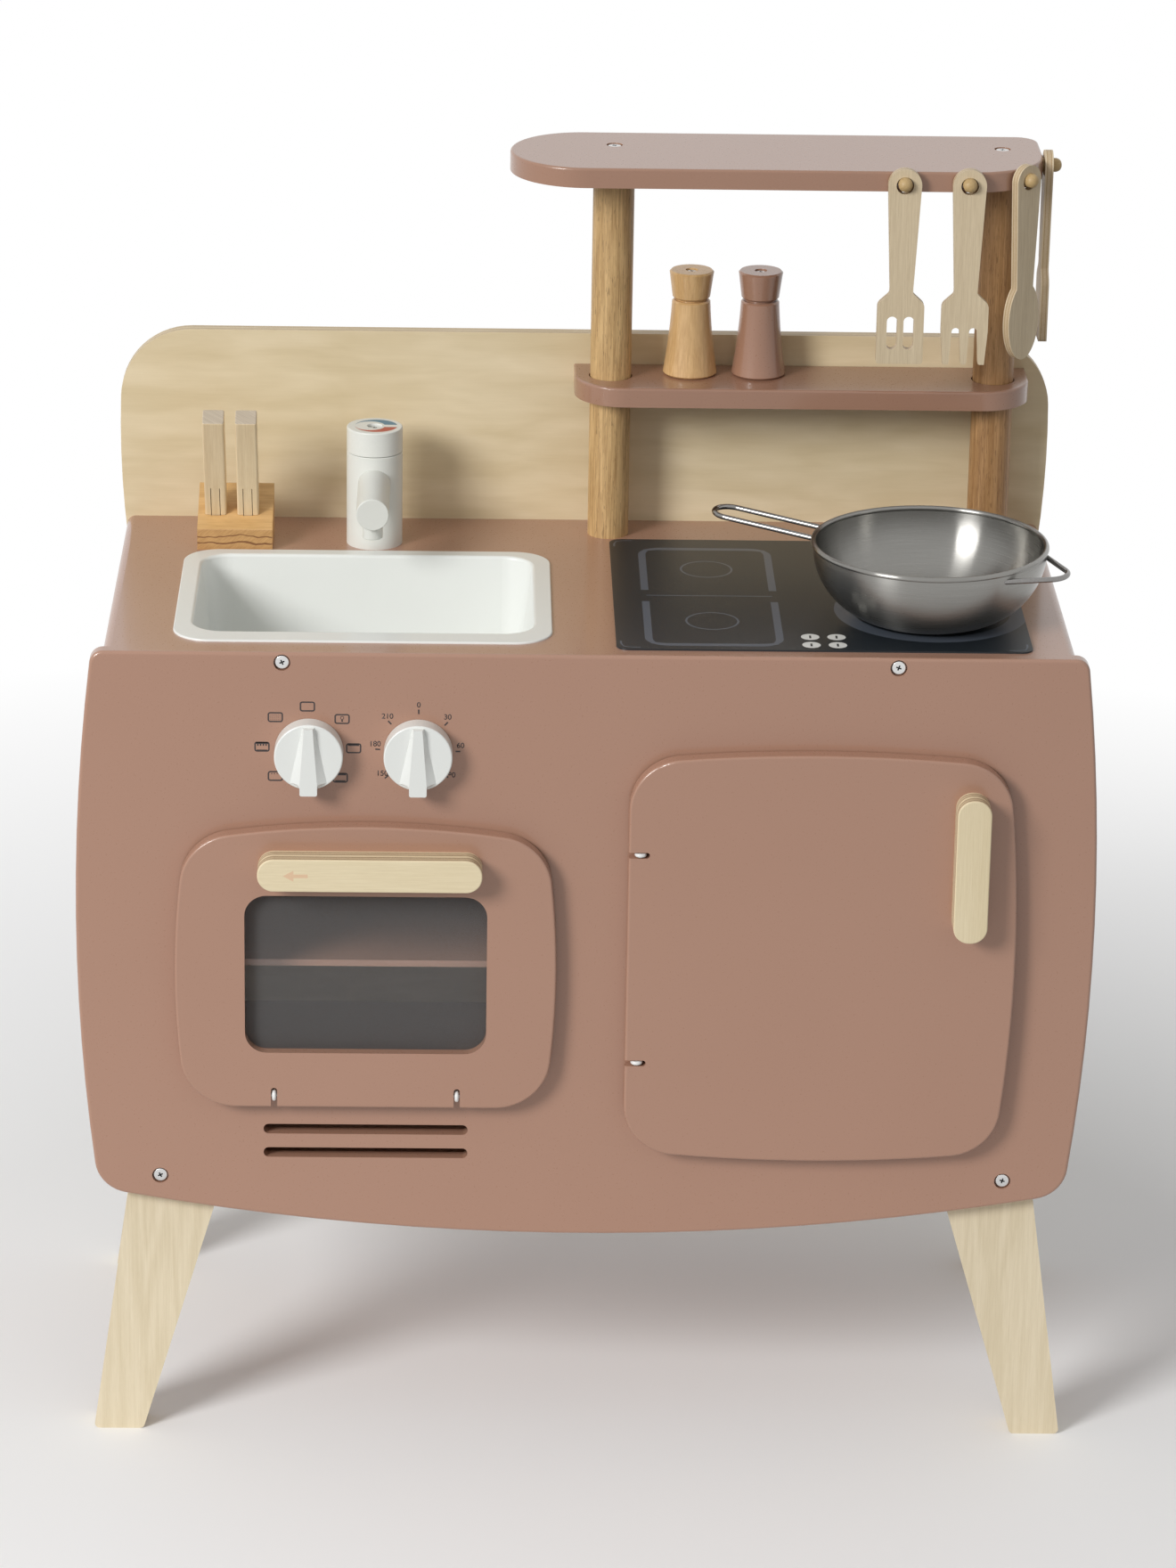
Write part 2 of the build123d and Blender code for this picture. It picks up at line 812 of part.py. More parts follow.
def hob_plate():
    """Thin printed sheet stuck on the counter."""
    outline = box_outline(hob_x - hob_width / 2, hob_x + hob_width / 2,
                          hob_y - hob_depth / 2, hob_y + hob_depth / 2, [hob_corner] * 4)
    return flat_board(outline, counter_height, hob_thickness)


def side_panel(side):
    """Side of the cabinet; the left one is grooved for the oven shelf."""
    left = -counter_half_width if side < 0 else side_inner
    panel = block((left, left + board_thickness), (plate_back, back_front), (leg_height, counter_bottom))
    if side < 0:
        panel -= shelf_groove(-side_inner - groove_depth, -side_inner + cut_over)
    return drill(panel, back_screw_seats(), back_screw_length)


def shelf_groove(left, right):
    """Groove that the oven shelf slides into."""
    front = plate_back + oven_shelf_setback
    return block((left, right), (front - snug_fit, back_front + cut_over),
                 (oven_shelf_bottom - snug_fit, oven_shelf_bottom + oven_shelf_thickness + snug_fit))


def divider_panel():
    """Board between the oven and the cupboard, grooved for the oven shelf."""
    left = divider_x - board_thickness / 2
    panel = block((left, left + board_thickness), (plate_back, back_front), (floor_top, counter_bottom))
    return panel - shelf_groove(left - cut_over, left + groove_depth)


def oven_shelf():
    """Thin board that rests in the two grooves behind the oven door."""
    left = -side_inner - groove_depth + loose_fit
    right = divider_x - board_thickness / 2 + groove_depth - loose_fit
    front = plate_back + oven_shelf_setback
    return block((left, right), (front, back_front - loose_fit),
                 (oven_shelf_bottom, oven_shelf_bottom + oven_shelf_thickness))


def bottom_panel():
    """Cabinet floor that the legs are screwed under."""
    panel = block((-side_inner, side_inner), (plate_back, back_front), (leg_height, floor_top))
    panel = counterbore(panel, front_screw_seats()[2:4])
    panel = drill(panel, leg_screw_seats(), short_screw_length)
    return drill(panel, back_screw_seats(), back_screw_length)


def back_panel():
    """Back board that rises behind the counter to a rounded splashback."""
    side = counter_half_width
    top = counter_height + back_rise
    corners = [(-side, counter_bottom), (side, counter_bottom), (side, top), (-side, top)]
    upper = bowed_outline(corners, [0, back_bow, 0, back_bow], [0, 0, back_corner, back_corner])
    lower = box_outline(-side, side, leg_height, counter_bottom, [0] * 4)
    panel = upright_board(upper + lower, back_front, back_thickness)
    return drill(panel, back_screw_seats(), back_screw_length)


def leg(side, middle):
    """Splayed leg: both edges lean, the inner one more, so it widens upwards."""
    head_outer = foot_outer - leg_outer_lean * leg_height
    head_inner = foot_inner - leg_inner_lean * leg_height
    corners = [(foot_inner, 0), (foot_outer, 0), (head_outer, leg_height), (head_inner, leg_height)]
    outline = bowed_outline(corners, [0] * 4, [foot_round, foot_round, 0, 0])
    solid = upright_board(outline, middle - leg_thickness / 2, leg_thickness)
    if side < 0:
        solid = mirror(solid, Plane.YZ)
    return drill(solid, leg_screw_seats(), short_screw_length + board_thickness)


def counterbore_screws():
    """Screws whose heads lie at the bottom of their counterbores."""
    screw = Pos(0, 0, pan_head_height - counterbore_depth) * pan_head_screw(front_screw_length)
    return Compound(children=[seated(screw, *seat) for seat in front_screw_seats()])


def panel_screws():
    """Countersunk screws of the back, the legs and what stands on the counter."""
    leg_screw = flat_head_screw(short_screw_length + board_thickness)
    screws = [seated(flat_head_screw(back_screw_length), *seat) for seat in back_screw_seats()]
    screws += [seated(leg_screw, *seat) for seat in leg_screw_seats()]
    screws += [seated(flat_head_screw(short_screw_length), *seat) for seat in counter_screw_seats()]
    return Compound(children=screws)


def post(x):
    """Round post, screwed from below the counter and from above the top shelf."""
    column = rod((x, post_y, counter_height), (0, 0, 1), post_radius, post_length)
    column = drill(column, counter_screw_seats()[:2], short_screw_length)
    return counterbore(column, front_screw_seats()[4:])


def mid_shelf():
    """Low shelf that the posts pass through."""
    front = back_front - mid_shelf_depth
    outline = box_outline(mid_shelf_left, mid_shelf_left + mid_shelf_length, front, back_front,
                          [mid_shelf_corner, mid_shelf_corner, 0, 0])
    shelf = soften(flat_board(outline, mid_shelf_bottom, board_thickness), Axis.Z, -1, edge_round)
    low = mid_shelf_bottom - cut_over
    through = board_thickness + 2 * cut_over
    for x in post_xs:
        shelf -= rod((x, post_y, low), (0, 0, 1), post_radius + post_hole_gap, through)
    return drill(shelf, back_screw_seats()[-2:], back_screw_length)


def top_shelf():
    """Shelf on the posts with two round ends; only its rear right corner is small."""
    right = top_shelf_left + top_shelf_length
    round_end = top_shelf_depth / 2 - hair
    outline = box_outline(top_shelf_left, right, top_shelf_front, top_shelf_front + top_shelf_depth,
                          [round_end, round_end, top_shelf_rear_corner, round_end])
    shelf = soften(flat_board(outline, top_shelf_bottom, board_thickness), Axis.Z, -1, edge_round)
    for point, outward in peg_places():
        inward = Vector(*outward) * -1
        depth = cut_over + peg_depth + loose_fit
        shelf -= rod(Vector(*point) - inward * cut_over, inward, peg_radius + snug_fit, depth)
    return counterbore(shelf, front_screw_seats()[4:])


def peg_places():
    """Points on the top shelf's edge and the way each peg points: two on the front edge and two on
    the round right end."""
    level = top_shelf_bottom + board_thickness / 2
    radius = top_shelf_depth / 2
    corner = Vector(top_shelf_left + top_shelf_length - radius, top_shelf_front + radius, level)
    places = []
    for step in range(2):
        places.append(((first_peg_x + step * peg_spacing, top_shelf_front, level), (0, -1, 0)))
    for angle in corner_peg_angles:
        outward = Vector(sin(radians(angle)), -cos(radians(angle)), 0)
        places.append((tuple(corner + outward * radius), tuple(outward)))
    return places


def utensil_pegs():
    """Dowel pegs with domed ends, glued into the shelf's edge."""
    pegs = []
    for point, outward in peg_places():
        start = Vector(*point) - Vector(*outward) * peg_depth
        dowel = rod(start, outward, peg_radius, peg_depth + peg_reach)
        tip = Vector(*point) + Vector(*outward) * peg_reach
        pegs.append(fillet(dowel.edges().sort_by_distance(tip)[0], peg_round))
    return Compound(children=pegs)


def handle_outline(head, length):
    """Tapered handle with a round top; the peg hole is at the origin."""
    top = utensil_top_width / 2
    waist = utensil_waist_width / 2
    neck = top - length + utensil_head_length
    strip = make_face(Polyline((-top, 0), (top, 0), (waist, neck), (-waist, neck), close=True))
    return strip + Circle(top) + head(neck) - Circle(utensil_hole)


def flat_head(neck):
    """Broad head with sloping rounded shoulders and a straight end."""
    half = utensil_head_width / 2
    waist = utensil_waist_width / 2
    end = neck - utensil_head_length
    shoulder = neck - utensil_shoulder
    start = neck - utensil_neck_round
    high = neck + cut_over
    outline = make_face(Polyline((-waist, high), (waist, high), (waist, start), (half, shoulder),
                                 (half, end), (-half, end), (-half, shoulder), (-waist, start), close=True))
    for x, y, radius in ((waist, start, utensil_neck_round), (half, shoulder, utensil_shoulder_round),
                         (half, end, utensil_end_round)):
        for side in (-1, 1):
            outline = fillet(outline.vertices().sort_by_distance((side * x, y))[0], radius)
    return outline


def turner_head(neck):
    """Flat head with two upright slots."""
    middle = neck - utensil_head_length + turner_slot_rise + turner_slot_length / 2
    slot = Rot(0, 0, 90) * SlotOverall(turner_slot_length, turner_slot_width)
    return flat_head(neck) - [Pos(side * turner_slot_spacing / 2, middle) * slot for side in (-1, 1)]


def fork_head(neck):
    """Three tapered tines: two flared gaps with round roots, and rounded tips."""
    end = neck - utensil_head_length
    root = end + tine_gap_length - tine_gap_width / 2
    half = utensil_head_width / 2
    narrow = tine_gap_width / 2
    wide = narrow + tine_gap_flare
    low = end - cut_over
    head = flat_head(neck)
    for side in (-1, 1):
        middle = side * tine_spacing / 2
        head -= Pos(middle, root) * Circle(narrow)
        head -= make_face(Polyline((middle - narrow, root), (middle + narrow, root),
                                   (middle + wide, low), (middle - wide, low), close=True))
        outside = side * (half + cut_over)
        head -= make_face(Polyline((side * half, root), (outside, root), (outside, low),
                                   (side * (half - tine_taper), low), close=True))
    tips = [vertex for vertex in head.vertices() if vertex.Y < end + hair]
    return fillet(tips, tine_tip_round)


def spoon_head(neck):
    """Oval bowl, flat like the rest of the board."""
    end = neck - utensil_head_length
    bowl = Pos(0, end + spoon_bowl_length / 2) * Ellipse(spoon_width / 2, spoon_bowl_length / 2)
    return bowl + Pos(0, neck - utensil_shoulder / 2) * Rectangle(utensil_waist_width, utensil_shoulder)


def utensil(number, head, length=utensil_length):
    """Board utensil that hangs with the top of its hole on its peg."""
    point, outward = peg_places()[number]
    hang = utensil_hole - peg_radius - snug_fit
    start = Vector(*point) + Vector(*outward) * utensil_gap - Vector(0, 0, hang)
    across = Vector(*outward).cross(Vector(0, 0, 1)) * -1
    place = Plane(origin=start, x_dir=across, z_dir=outward)
    return place * extrude(handle_outline(head, length), utensil_thickness)


def tap_centre():
    return tap_x, back_front - tap_from_back


def tap_body():
    """Round tap body with a seat for the spout and a pilot hole for the cap's screw."""
    x, y = tap_centre()
    body = rod((x, y, counter_height), (0, 0, 1), tap_radius, tap_body_height)
    body = fillet(body.edges().sort_by(Axis.Z)[-1], tap_edge_round)
    spout_z = counter_height + spout_rise
    start = y - tap_radius - cut_over
    body -= rod((x, start, spout_z), (0, 1, 0), spout_radius + snug_fit, spout_seat + cut_over)
    high = counter_height + tap_body_height + cut_over
    body -= rod((x, y, high), (0, 0, -1), screw_shank_radius + snug_fit, short_screw_length)
    return drill(body, counter_screw_seats(), short_screw_length)


def tap_spout():
    """Round spout let into the body, level, with a hole below for the nozzle."""
    x, y = tap_centre()
    spout_z = counter_height + spout_rise
    tip = y - tap_radius - spout_reach
    spout = rod((x, tip, spout_z), (0, 1, 0), spout_radius, spout_reach + spout_seat)
    spout = fillet(spout.edges().sort_by(Axis.Y)[0], tap_edge_round)
    seat = spout_z - spout_radius + nozzle_seat
    hole = (x, tip + nozzle_setback, seat)
    return spout - rod(hole, (0, 0, -1), nozzle_radius + snug_fit, spout_radius)


def tap_nozzle():
    """Short round nozzle let into the underside of the spout."""
    x, y = tap_centre()
    seat = counter_height + spout_rise - spout_radius + nozzle_seat
    tip = y - tap_radius - spout_reach
    nozzle = rod((x, tip + nozzle_setback, seat), (0, 0, -1), nozzle_radius, nozzle_seat + nozzle_drop)
    return fillet(nozzle.edges().sort_by(Axis.Z)[0], tap_edge_round)


def tap_cap():
    """Turning top of the tap, with its screw sunk in a round recess."""
    x, y = tap_centre()
    bottom = counter_height + tap_body_height + tap_groove
    cap = rod((x, y, bottom), (0, 0, 1), tap_radius, tap_cap_height)
    cap = fillet(cap.edges().sort_by(Axis.Z)[-1], fine_round)
    high = bottom + tap_cap_height + cut_over
    cap -= rod((x, y, high), (0, 0, -1), cap_recess_radius, cap_recess_depth + cut_over)
    return cap - rod((x, y, bottom - cut_over), (0, 0, 1), screw_shank_radius + snug_fit, tap_cap_height)


def tap_screw():
    """Screw on which the tap's cap turns."""
    x, y = tap_centre()
    seat = counter_height + tap_body_height + tap_groove + tap_cap_height - cap_recess_depth
    top = seat + loose_fit + pan_head_height
    return Pos(x, y, top) * pan_head_screw(tap_cap_height - cap_recess_depth + turning_screw_grip)


def block_lean():
    """Angle of the block's sloping top."""
    return degrees(atan2(block_rear_height - block_front_height, block_depth))


def block_frame(x):
    """Frame on the sloping top, a little ahead of its middle, with Z square to it."""
    lean = radians(block_lean())
    y = back_front - block_from_back - block_depth / 2 - knife_from_middle * cos(lean)
    z = counter_height + (block_front_height + block_rear_height) / 2 - knife_from_middle * sin(lean)
    return Plane(origin=(x, y, z), x_dir=(1, 0, 0), z_dir=(0, -sin(lean), cos(lean)))


def knife_xs():
    middle = block_x + knife_shift
    return [middle - knife_spacing / 2, middle + knife_spacing / 2]


def knife_block():
    """Wedge with a sloping top and two slots for the knife blades."""
    rear = back_front - block_from_back
    front = rear - block_depth
    front_top = (front, counter_height + block_front_height)
    rear_top = (rear, counter_height + block_rear_height)
    corners = [(front, counter_height), (rear, counter_height), rear_top, front_top]
    profile = make_face(Polyline(*corners, close=True))
    left = block_x - block_width / 2
    wedge = extrude(Plane.YZ.offset(left) * profile, block_width)
    wedge = fillet(wedge.edges().filter_by(Axis.X).sort_by(Axis.Z)[-2:], block_round)
    for x in knife_xs():
        slot = Rectangle(blade_thickness + 2 * blade_slot_gap, blade_width + 2 * blade_slot_gap)
        deep = blade_seat + blade_slot_gap
        wedge -= block_frame(x) * (Pos(0, 0, -deep) * extrude(slot, deep + block_rear_height))
    return drill(wedge, counter_screw_seats(), short_screw_length)


def knife_handle(x):
    """Square bar with a slot from its lower end that the blade is glued into."""
    half_width = knife_handle_width / 2
    half_depth = knife_handle_depth / 2
    bar = block((-half_width, half_width), (-half_depth, half_depth),
                (loose_fit, knife_handle_length + loose_fit))
    bar = fillet(bar.edges().filter_by(Axis.Z), knife_handle_round)
    bar = fillet(bar.faces().sort_by(Axis.Z)[-1].edges(), knife_end_round)
    half = blade_thickness / 2 + blade_side_gap
    bar -= block((-half, half), (-knife_handle_depth, knife_handle_depth), (0, blade_in_handle + snug_fit))
    return block_frame(x) * bar


def knife_blade(x):
    """Wooden blade, its upper end let into the handle and its lower end in the block."""
    blade = Box(blade_thickness, blade_width, blade_in_handle + blade_seat)
    blade = Pos(0, 0, (blade_in_handle - blade_seat) / 2) * blade
    blade = fillet(blade.edges().filter_by(Axis.X).sort_by(Axis.Z)[:2], blade_tip_round)
    return block_frame(x) * blade


def turned(profile):
    """Turn a closed outline, drawn as radius and height, about Z."""
    return revolve(Plane.XZ * make_face(profile), Axis.Z)


def shaker_places():
    y = back_front - shaker_from_back
    return [Pos(shaker_x + step * shaker_spacing, y, mid_shelf_top + loose_fit) for step in range(2)]


def shaker_body():
    """Turned body: a wide base, hollow flanks and a reduced neck under the cap."""
    flank_low = (shaker_base_radius, shaker_edge)
    flank_high = (shaker_neck_radius, shaker_body_height - shaker_edge)
    flank = ThreePointArc(flank_low, (shaker_waist_radius, shaker_waist_height), flank_high)
    neck = shaker_body_height + shaker_groove - loose_fit
    above = Polyline(flank_high, (shaker_neck_radius - shaker_edge, shaker_body_height),
                     (shaker_groove_radius, shaker_body_height), (shaker_groove_radius, neck),
                     (0, neck), (0, 0))
    below = Polyline((0, 0), (shaker_base_radius - shaker_edge, 0), flank_low)
    body = turned([below, flank, above])
    depth = cut_over + turning_screw_grip + shaker_groove
    return body - rod((0, 0, neck + cut_over), (0, 0, -1), screw_shank_radius + snug_fit, depth)


def shaker_cap():
    """Turned cap, wider at the top, with a recess for the screw."""
    low = shaker_body_height + shaker_groove
    high = low + shaker_cap_height
    bottom = shaker_cap_bottom_radius
    top = shaker_cap_top_radius
    cap = turned(Polyline((0, low), (bottom - shaker_edge, low), (bottom, low + shaker_edge),
                          (top, high - shaker_edge), (top - shaker_edge, high), (0, high), close=True))
    start = (0, 0, high + cut_over)
    cap -= rod(start, (0, 0, -1), shaker_recess_radius, shaker_recess_depth + cut_over)
    return cap - rod((0, 0, low - cut_over), (0, 0, 1), screw_shank_radius + snug_fit, shaker_cap_height)


def shaker_screw():
    """Screw on which the cap turns."""
    cap_floor = shaker_cap_height - shaker_recess_depth
    seat = shaker_body_height + shaker_groove + cap_floor + loose_fit
    head = rod((0, 0, seat), (0, 0, 1), shaker_screw_head_radius, shaker_screw_head_height)
    head = fillet(head.edges().sort_by(Axis.Z)[-1], fine_round)
    return head + rod((0, 0, seat), (0, 0, -1), screw_shank_radius, cap_floor + turning_screw_grip)


def knob_frame(x):
    return Plane(origin=(x, plate_front, knob_z), x_dir=(1, 0, 0), z_dir=(0, -1, 0))


def knob_outline(top_half, flank_half, foot_half):
    """Grip ridge seen from the front, given by its half widths at three heights."""
    top = knob_radius - knob_ridge_inset
    rim = knob_radius - knob_edge_round
    flank = -sqrt(rim ** 2 - (knob_ridge_bottom / 2 + knob_ridge_flare) ** 2)
    foot = -sqrt(rim ** 2 - foot_half ** 2)
    low = -knob_radius - knob_nub
    half = [(top_half, top), (flank_half, flank), (foot_half, foot), (foot_half, low)]
    mirrored = [(-x, y) for x, y in reversed(half)]
    return make_face(Polyline(*half, *mirrored, close=True))


def knob(x):
    """Moulded knob: a drum with a grip ridge whose flanks spread to the rim, and a nub past it."""
    drum = rod((0, 0, loose_fit), (0, 0, 1), knob_radius, knob_depth - loose_fit)
    drum = fillet(drum.edges().sort_by(Axis.Z)[-1], knob_edge_round)
    top_half = knob_ridge_top / 2
    foot_half = knob_ridge_bottom / 2
    base = knob_outline(top_half + knob_ridge_foot, foot_half + knob_ridge_flare, foot_half)
    crest = knob_outline(top_half, foot_half - snug_fit, foot_half)
    seat = knob_depth - knob_edge_round / 4
    ridge = loft([Plane.XY.offset(seat) * base, Plane.XY.offset(knob_depth + knob_ridge_height) * crest])
    low = -knob_radius - knob_nub
    nub = block((-foot_half, foot_half), (low, knob_edge_round - knob_radius),
                (knob_nub_floor, knob_depth + knob_ridge_height))
    solid = drum + ridge + nub
    ends = [edge for edge in solid.edges().filter_by(Axis.Z) if edge.center().Y < low + snug_fit]
    solid = fillet(ends, knob_nub_round)
    solid -= rod((0, 0, 0), (0, 0, 1), screw_shank_radius + snug_fit, knob_screw_hole)
    return knob_frame(x) * solid


def knob_screw(x):
    """Screw from behind the plate that the knob turns with."""
    seat = (0, 0, -plate_thickness - loose_fit)
    head = rod(seat, (0, 0, -1), pan_head_radius, pan_head_height)
    shank = rod(seat, (0, 0, 1), screw_shank_radius, knob_screw_length)
    return knob_frame(x) * (head + shank)


def pan_place():
    return Pos(hob_x + pan_x, hob_y + pan_y, counter_height + hob_thickness + loose_fit)


def pan_belly(grow):
    """Outer curve of the bowl as radius and height, grown outwards."""
    return ((pan_base_radius + grow, 0), (pan_belly_radius + grow, pan_belly_height),
            (pan_rim_radius + grow, pan_height))


def pan_bowl():
    """Spun bowl: a flat base, a rounded flank and a rolled rim."""
    outer = ThreePointArc(*pan_belly(0))
    base, belly, rim = pan_belly(-pan_wall)
    inner = ThreePointArc((base[0], pan_wall), (belly[0], belly[1] + pan_wall / 2), rim)
    profile = [Line((0, 0), (pan_base_radius, 0)), outer, Line((pan_rim_radius, pan_height), rim), inner,
               Line((base[0], pan_wall), (0, pan_wall)), Line((0, pan_wall), (0, 0))]
    bowl = turned(profile)
    bead = Pos(0, 0, pan_height) * Torus(pan_rim_radius - pan_wall / 2, pan_bead_radius)
    return pan_place() * (bowl + bead)


def pan_core():
    """The filled bowl with a hair of clearance, which trims the wires to its flank."""
    base, belly, rim = pan_belly(snug_fit)
    low = -cut_over
    high = pan_height + 2 * pan_bead_radius
    rest = Polyline(rim, (rim[0], high), (0, high), (0, low), (base[0], low), base)
    return turned([ThreePointArc(base, belly, rim), rest])


def wire(path):
    """Round wire along a path."""
    section = Plane(origin=path @ 0, z_dir=path % 0) * Circle(pan_wire_radius)
    return sweep(section, path)


def pan_handle():
    """Long handle: one wire bent double with a round end, welded under the rim."""
    start = pan_rim_radius - pan_wire_run_in
    half = pan_handle_gap / 2
    straight = pan_handle_reach - half
    path = Line((start, -half), (straight, -half))
    path += ThreePointArc((straight, -half), (pan_handle_reach, 0), (straight, half))
    path += Line((straight, half), (start, half))
    loop = Rot(0, -pan_handle_slope, 0) * Pos(-pan_rim_radius, 0, 0) * wire(path)
    loop = Pos(pan_rim_radius, 0, pan_height - pan_handle_drop) * loop
    return pan_place() * (Rot(0, 0, pan_handle_angle) * (loop - pan_core()))


def pan_helper_handle():
    """Short bail on the far side, bent to a rounded point."""
    lean = radians(pan_loop_half_angle)
    reach = pan_rim_radius - pan_wire_run_in
    ends = [(reach * cos(lean), side * reach * sin(lean)) for side in (-1, 1)]
    path = FilletPolyline(ends[0], (pan_loop_reach, 0), ends[1], radius=pan_loop_bend)
    bail = Pos(0, 0, pan_height - pan_loop_drop) * wire(path)
    return pan_place() * (Rot(0, 0, pan_loop_angle) * (bail - pan_core()))


nodes = {
    "front_plate": front_plate(),
    "counter_top": counter_top(),
    "side_panel_left": side_panel(-1),
    "side_panel_right": side_panel(1),
    "bottom_panel": bottom_panel(),
    "divider_panel": divider_panel(),
    "back_panel": back_panel(),
    "oven_shelf": oven_shelf(),
    "counterbore_screws": counterbore_screws(),
    "panel_screws": panel_screws(),
    "sink_basin": sink_basin(),
    "hob_plate": hob_plate(),
    "post_left": post(post_xs[0]),
    "post_right": post(post_xs[1]),
    "mid_shelf": mid_shelf(),
    "top_shelf": top_shelf(),
    "utensil_pegs": utensil_pegs(),
    "utensil_turner": utensil(0, turner_head),
    "utensil_fork": utensil(1, fork_head),
    "utensil_spoon": utensil(2, spoon_head),
    "utensil_spatula": utensil(3, flat_head, spatula_length),
    "tap_body": tap_body(),
    "tap_spout": tap_spout(),
    "tap_nozzle": tap_nozzle(),
    "tap_cap": tap_cap(),
    "tap_screw": tap_screw(),
    "knife_block": knife_block(),
    "oven_door": oven_door(),
    "oven_window": oven_window(),
    "oven_handle": oven_handle(),
    "oven_door_screws": oven_door_screws(),
    "oven_hinge_pins": hinge_pins(eye_places()[:2]),
    "cupboard_door": cupboard_door(),
    "cupboard_handle": cupboard_handle(),
    "cupboard_door_screws": cupboard_door_screws(),
    "cupboard_hinge_pins": hinge_pins(eye_places()[2:]),
    "hinge_eyes": hinge_eyes(),
    "door_magnets": door_magnets(),
    "pan_bowl": pan_bowl(),
    "pan_handle": pan_handle(),
    "pan_helper_handle": pan_helper_handle(),
}
for row, middle in zip(("front", "rear"), leg_middles()):
    nodes[f"leg_{row}_left"] = leg(-1, middle)
    nodes[f"leg_{row}_right"] = leg(1, middle)
for name, x in zip(("left", "right"), knife_xs()):
    nodes[f"knife_{name}_handle"] = knife_handle(x)
    nodes[f"knife_{name}_blade"] = knife_blade(x)
for name, place in zip(("natural", "painted"), shaker_places()):
    nodes[f"shaker_{name}_body"] = place * shaker_body()
    nodes[f"shaker_{name}_cap"] = place * shaker_cap()
    nodes[f"shaker_{name}_screw"] = place * shaker_screw()
for name, x in zip(("left", "right"), knob_xs):
    nodes[f"knob_{name}"] = knob(x)
    nodes[f"knob_{name}_screw"] = knob_screw(x)

os.makedirs("parts", exist_ok=True)
for name, shape in nodes.items():
    export_step(shape, f"parts/{name}.step")
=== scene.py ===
from math import atan2, cos, pi, radians, sin

import bmesh
import bpy
from mathutils import Matrix, Vector


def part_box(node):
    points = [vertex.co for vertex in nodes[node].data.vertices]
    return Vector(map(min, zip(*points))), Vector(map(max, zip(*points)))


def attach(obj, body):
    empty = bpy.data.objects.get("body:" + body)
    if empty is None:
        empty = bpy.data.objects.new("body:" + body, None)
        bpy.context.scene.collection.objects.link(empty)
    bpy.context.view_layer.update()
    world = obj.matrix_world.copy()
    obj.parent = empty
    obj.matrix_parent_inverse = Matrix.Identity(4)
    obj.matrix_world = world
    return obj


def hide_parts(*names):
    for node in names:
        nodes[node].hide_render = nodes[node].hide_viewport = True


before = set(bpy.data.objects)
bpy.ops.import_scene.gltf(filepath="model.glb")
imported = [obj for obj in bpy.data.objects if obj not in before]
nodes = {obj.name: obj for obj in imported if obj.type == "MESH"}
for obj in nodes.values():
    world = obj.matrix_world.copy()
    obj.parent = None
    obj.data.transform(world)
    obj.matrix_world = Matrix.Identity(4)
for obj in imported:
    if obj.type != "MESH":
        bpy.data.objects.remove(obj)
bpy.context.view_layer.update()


# Camera
# A long lens above the counter that points down, turned and rolled a little, as the picture was
# taken. The colours are shown plainly, without a film look.
camera_point = Vector((-0.073, -3.19925, 1.574))
camera_turn = radians(1.35)
camera_tilt = radians(20.46)
camera_roll = radians(0.98)
camera_lens = 129.48

ahead = Vector((sin(camera_turn) * cos(camera_tilt), cos(camera_turn) * cos(camera_tilt), -sin(camera_tilt)))
level = Vector((cos(camera_turn), -sin(camera_turn), 0))
above = level.cross(ahead)
right = cos(camera_roll) * level + sin(camera_roll) * above
up = cos(camera_roll) * above - sin(camera_roll) * level
camera = bpy.data.objects.new("camera", bpy.data.cameras.new("camera"))
camera.data.lens = camera_lens
camera.matrix_world = Matrix.Translation(camera_point) @ Matrix((right, up, -ahead)).transposed().to_4x4()
bpy.context.scene.collection.objects.link(camera)
bpy.context.scene.camera = camera
bpy.context.scene.view_settings.view_transform = "Standard"


# Studio
# A large soft lamp at the upper left in an even white room, and a pale floor that fades into the
# white background and keeps the shadow.
class Field:
    """A number that varies over a surface. Arithmetic on it adds Math nodes to its material, and
    | and & give the larger and the smaller of two."""

    def __init__(self, finish, socket):
        self.finish = finish
        self.socket = socket

    def __add__(self, other):
        return self.finish.math("ADD", self, other)

    def __sub__(self, other):
        return self.finish.math("SUBTRACT", self, other)

    def __rsub__(self, other):
        return self.finish.math("SUBTRACT", other, self)

    def __mul__(self, other):
        return self.finish.math("MULTIPLY", self, other)

    def __truediv__(self, other):
        return self.finish.math("DIVIDE", self, other)

    def __rtruediv__(self, other):
        return self.finish.math("DIVIDE", other, self)

    def __mod__(self, other):
        return self.finish.math("MODULO", self, other)

    def __rmod__(self, other):
        return self.finish.math("MODULO", other, self)

    def __pow__(self, other):
        return self.finish.math("POWER", self, other)

    def __rpow__(self, other):
        return self.finish.math("POWER", other, self)

    def __or__(self, other):
        return self.finish.math("MAXIMUM", self, other)

    def __and__(self, other):
        return self.finish.math("MINIMUM", self, other)

    def __lt__(self, other):
        return self.finish.math("LESS_THAN", self, other)

    def __gt__(self, other):
        return self.finish.math("GREATER_THAN", self, other)

    def __abs__(self):
        return self.finish.math("ABSOLUTE", self)

    __radd__ = __add__
    __rmul__ = __mul__
    __ror__ = __or__
    __rand__ = __and__


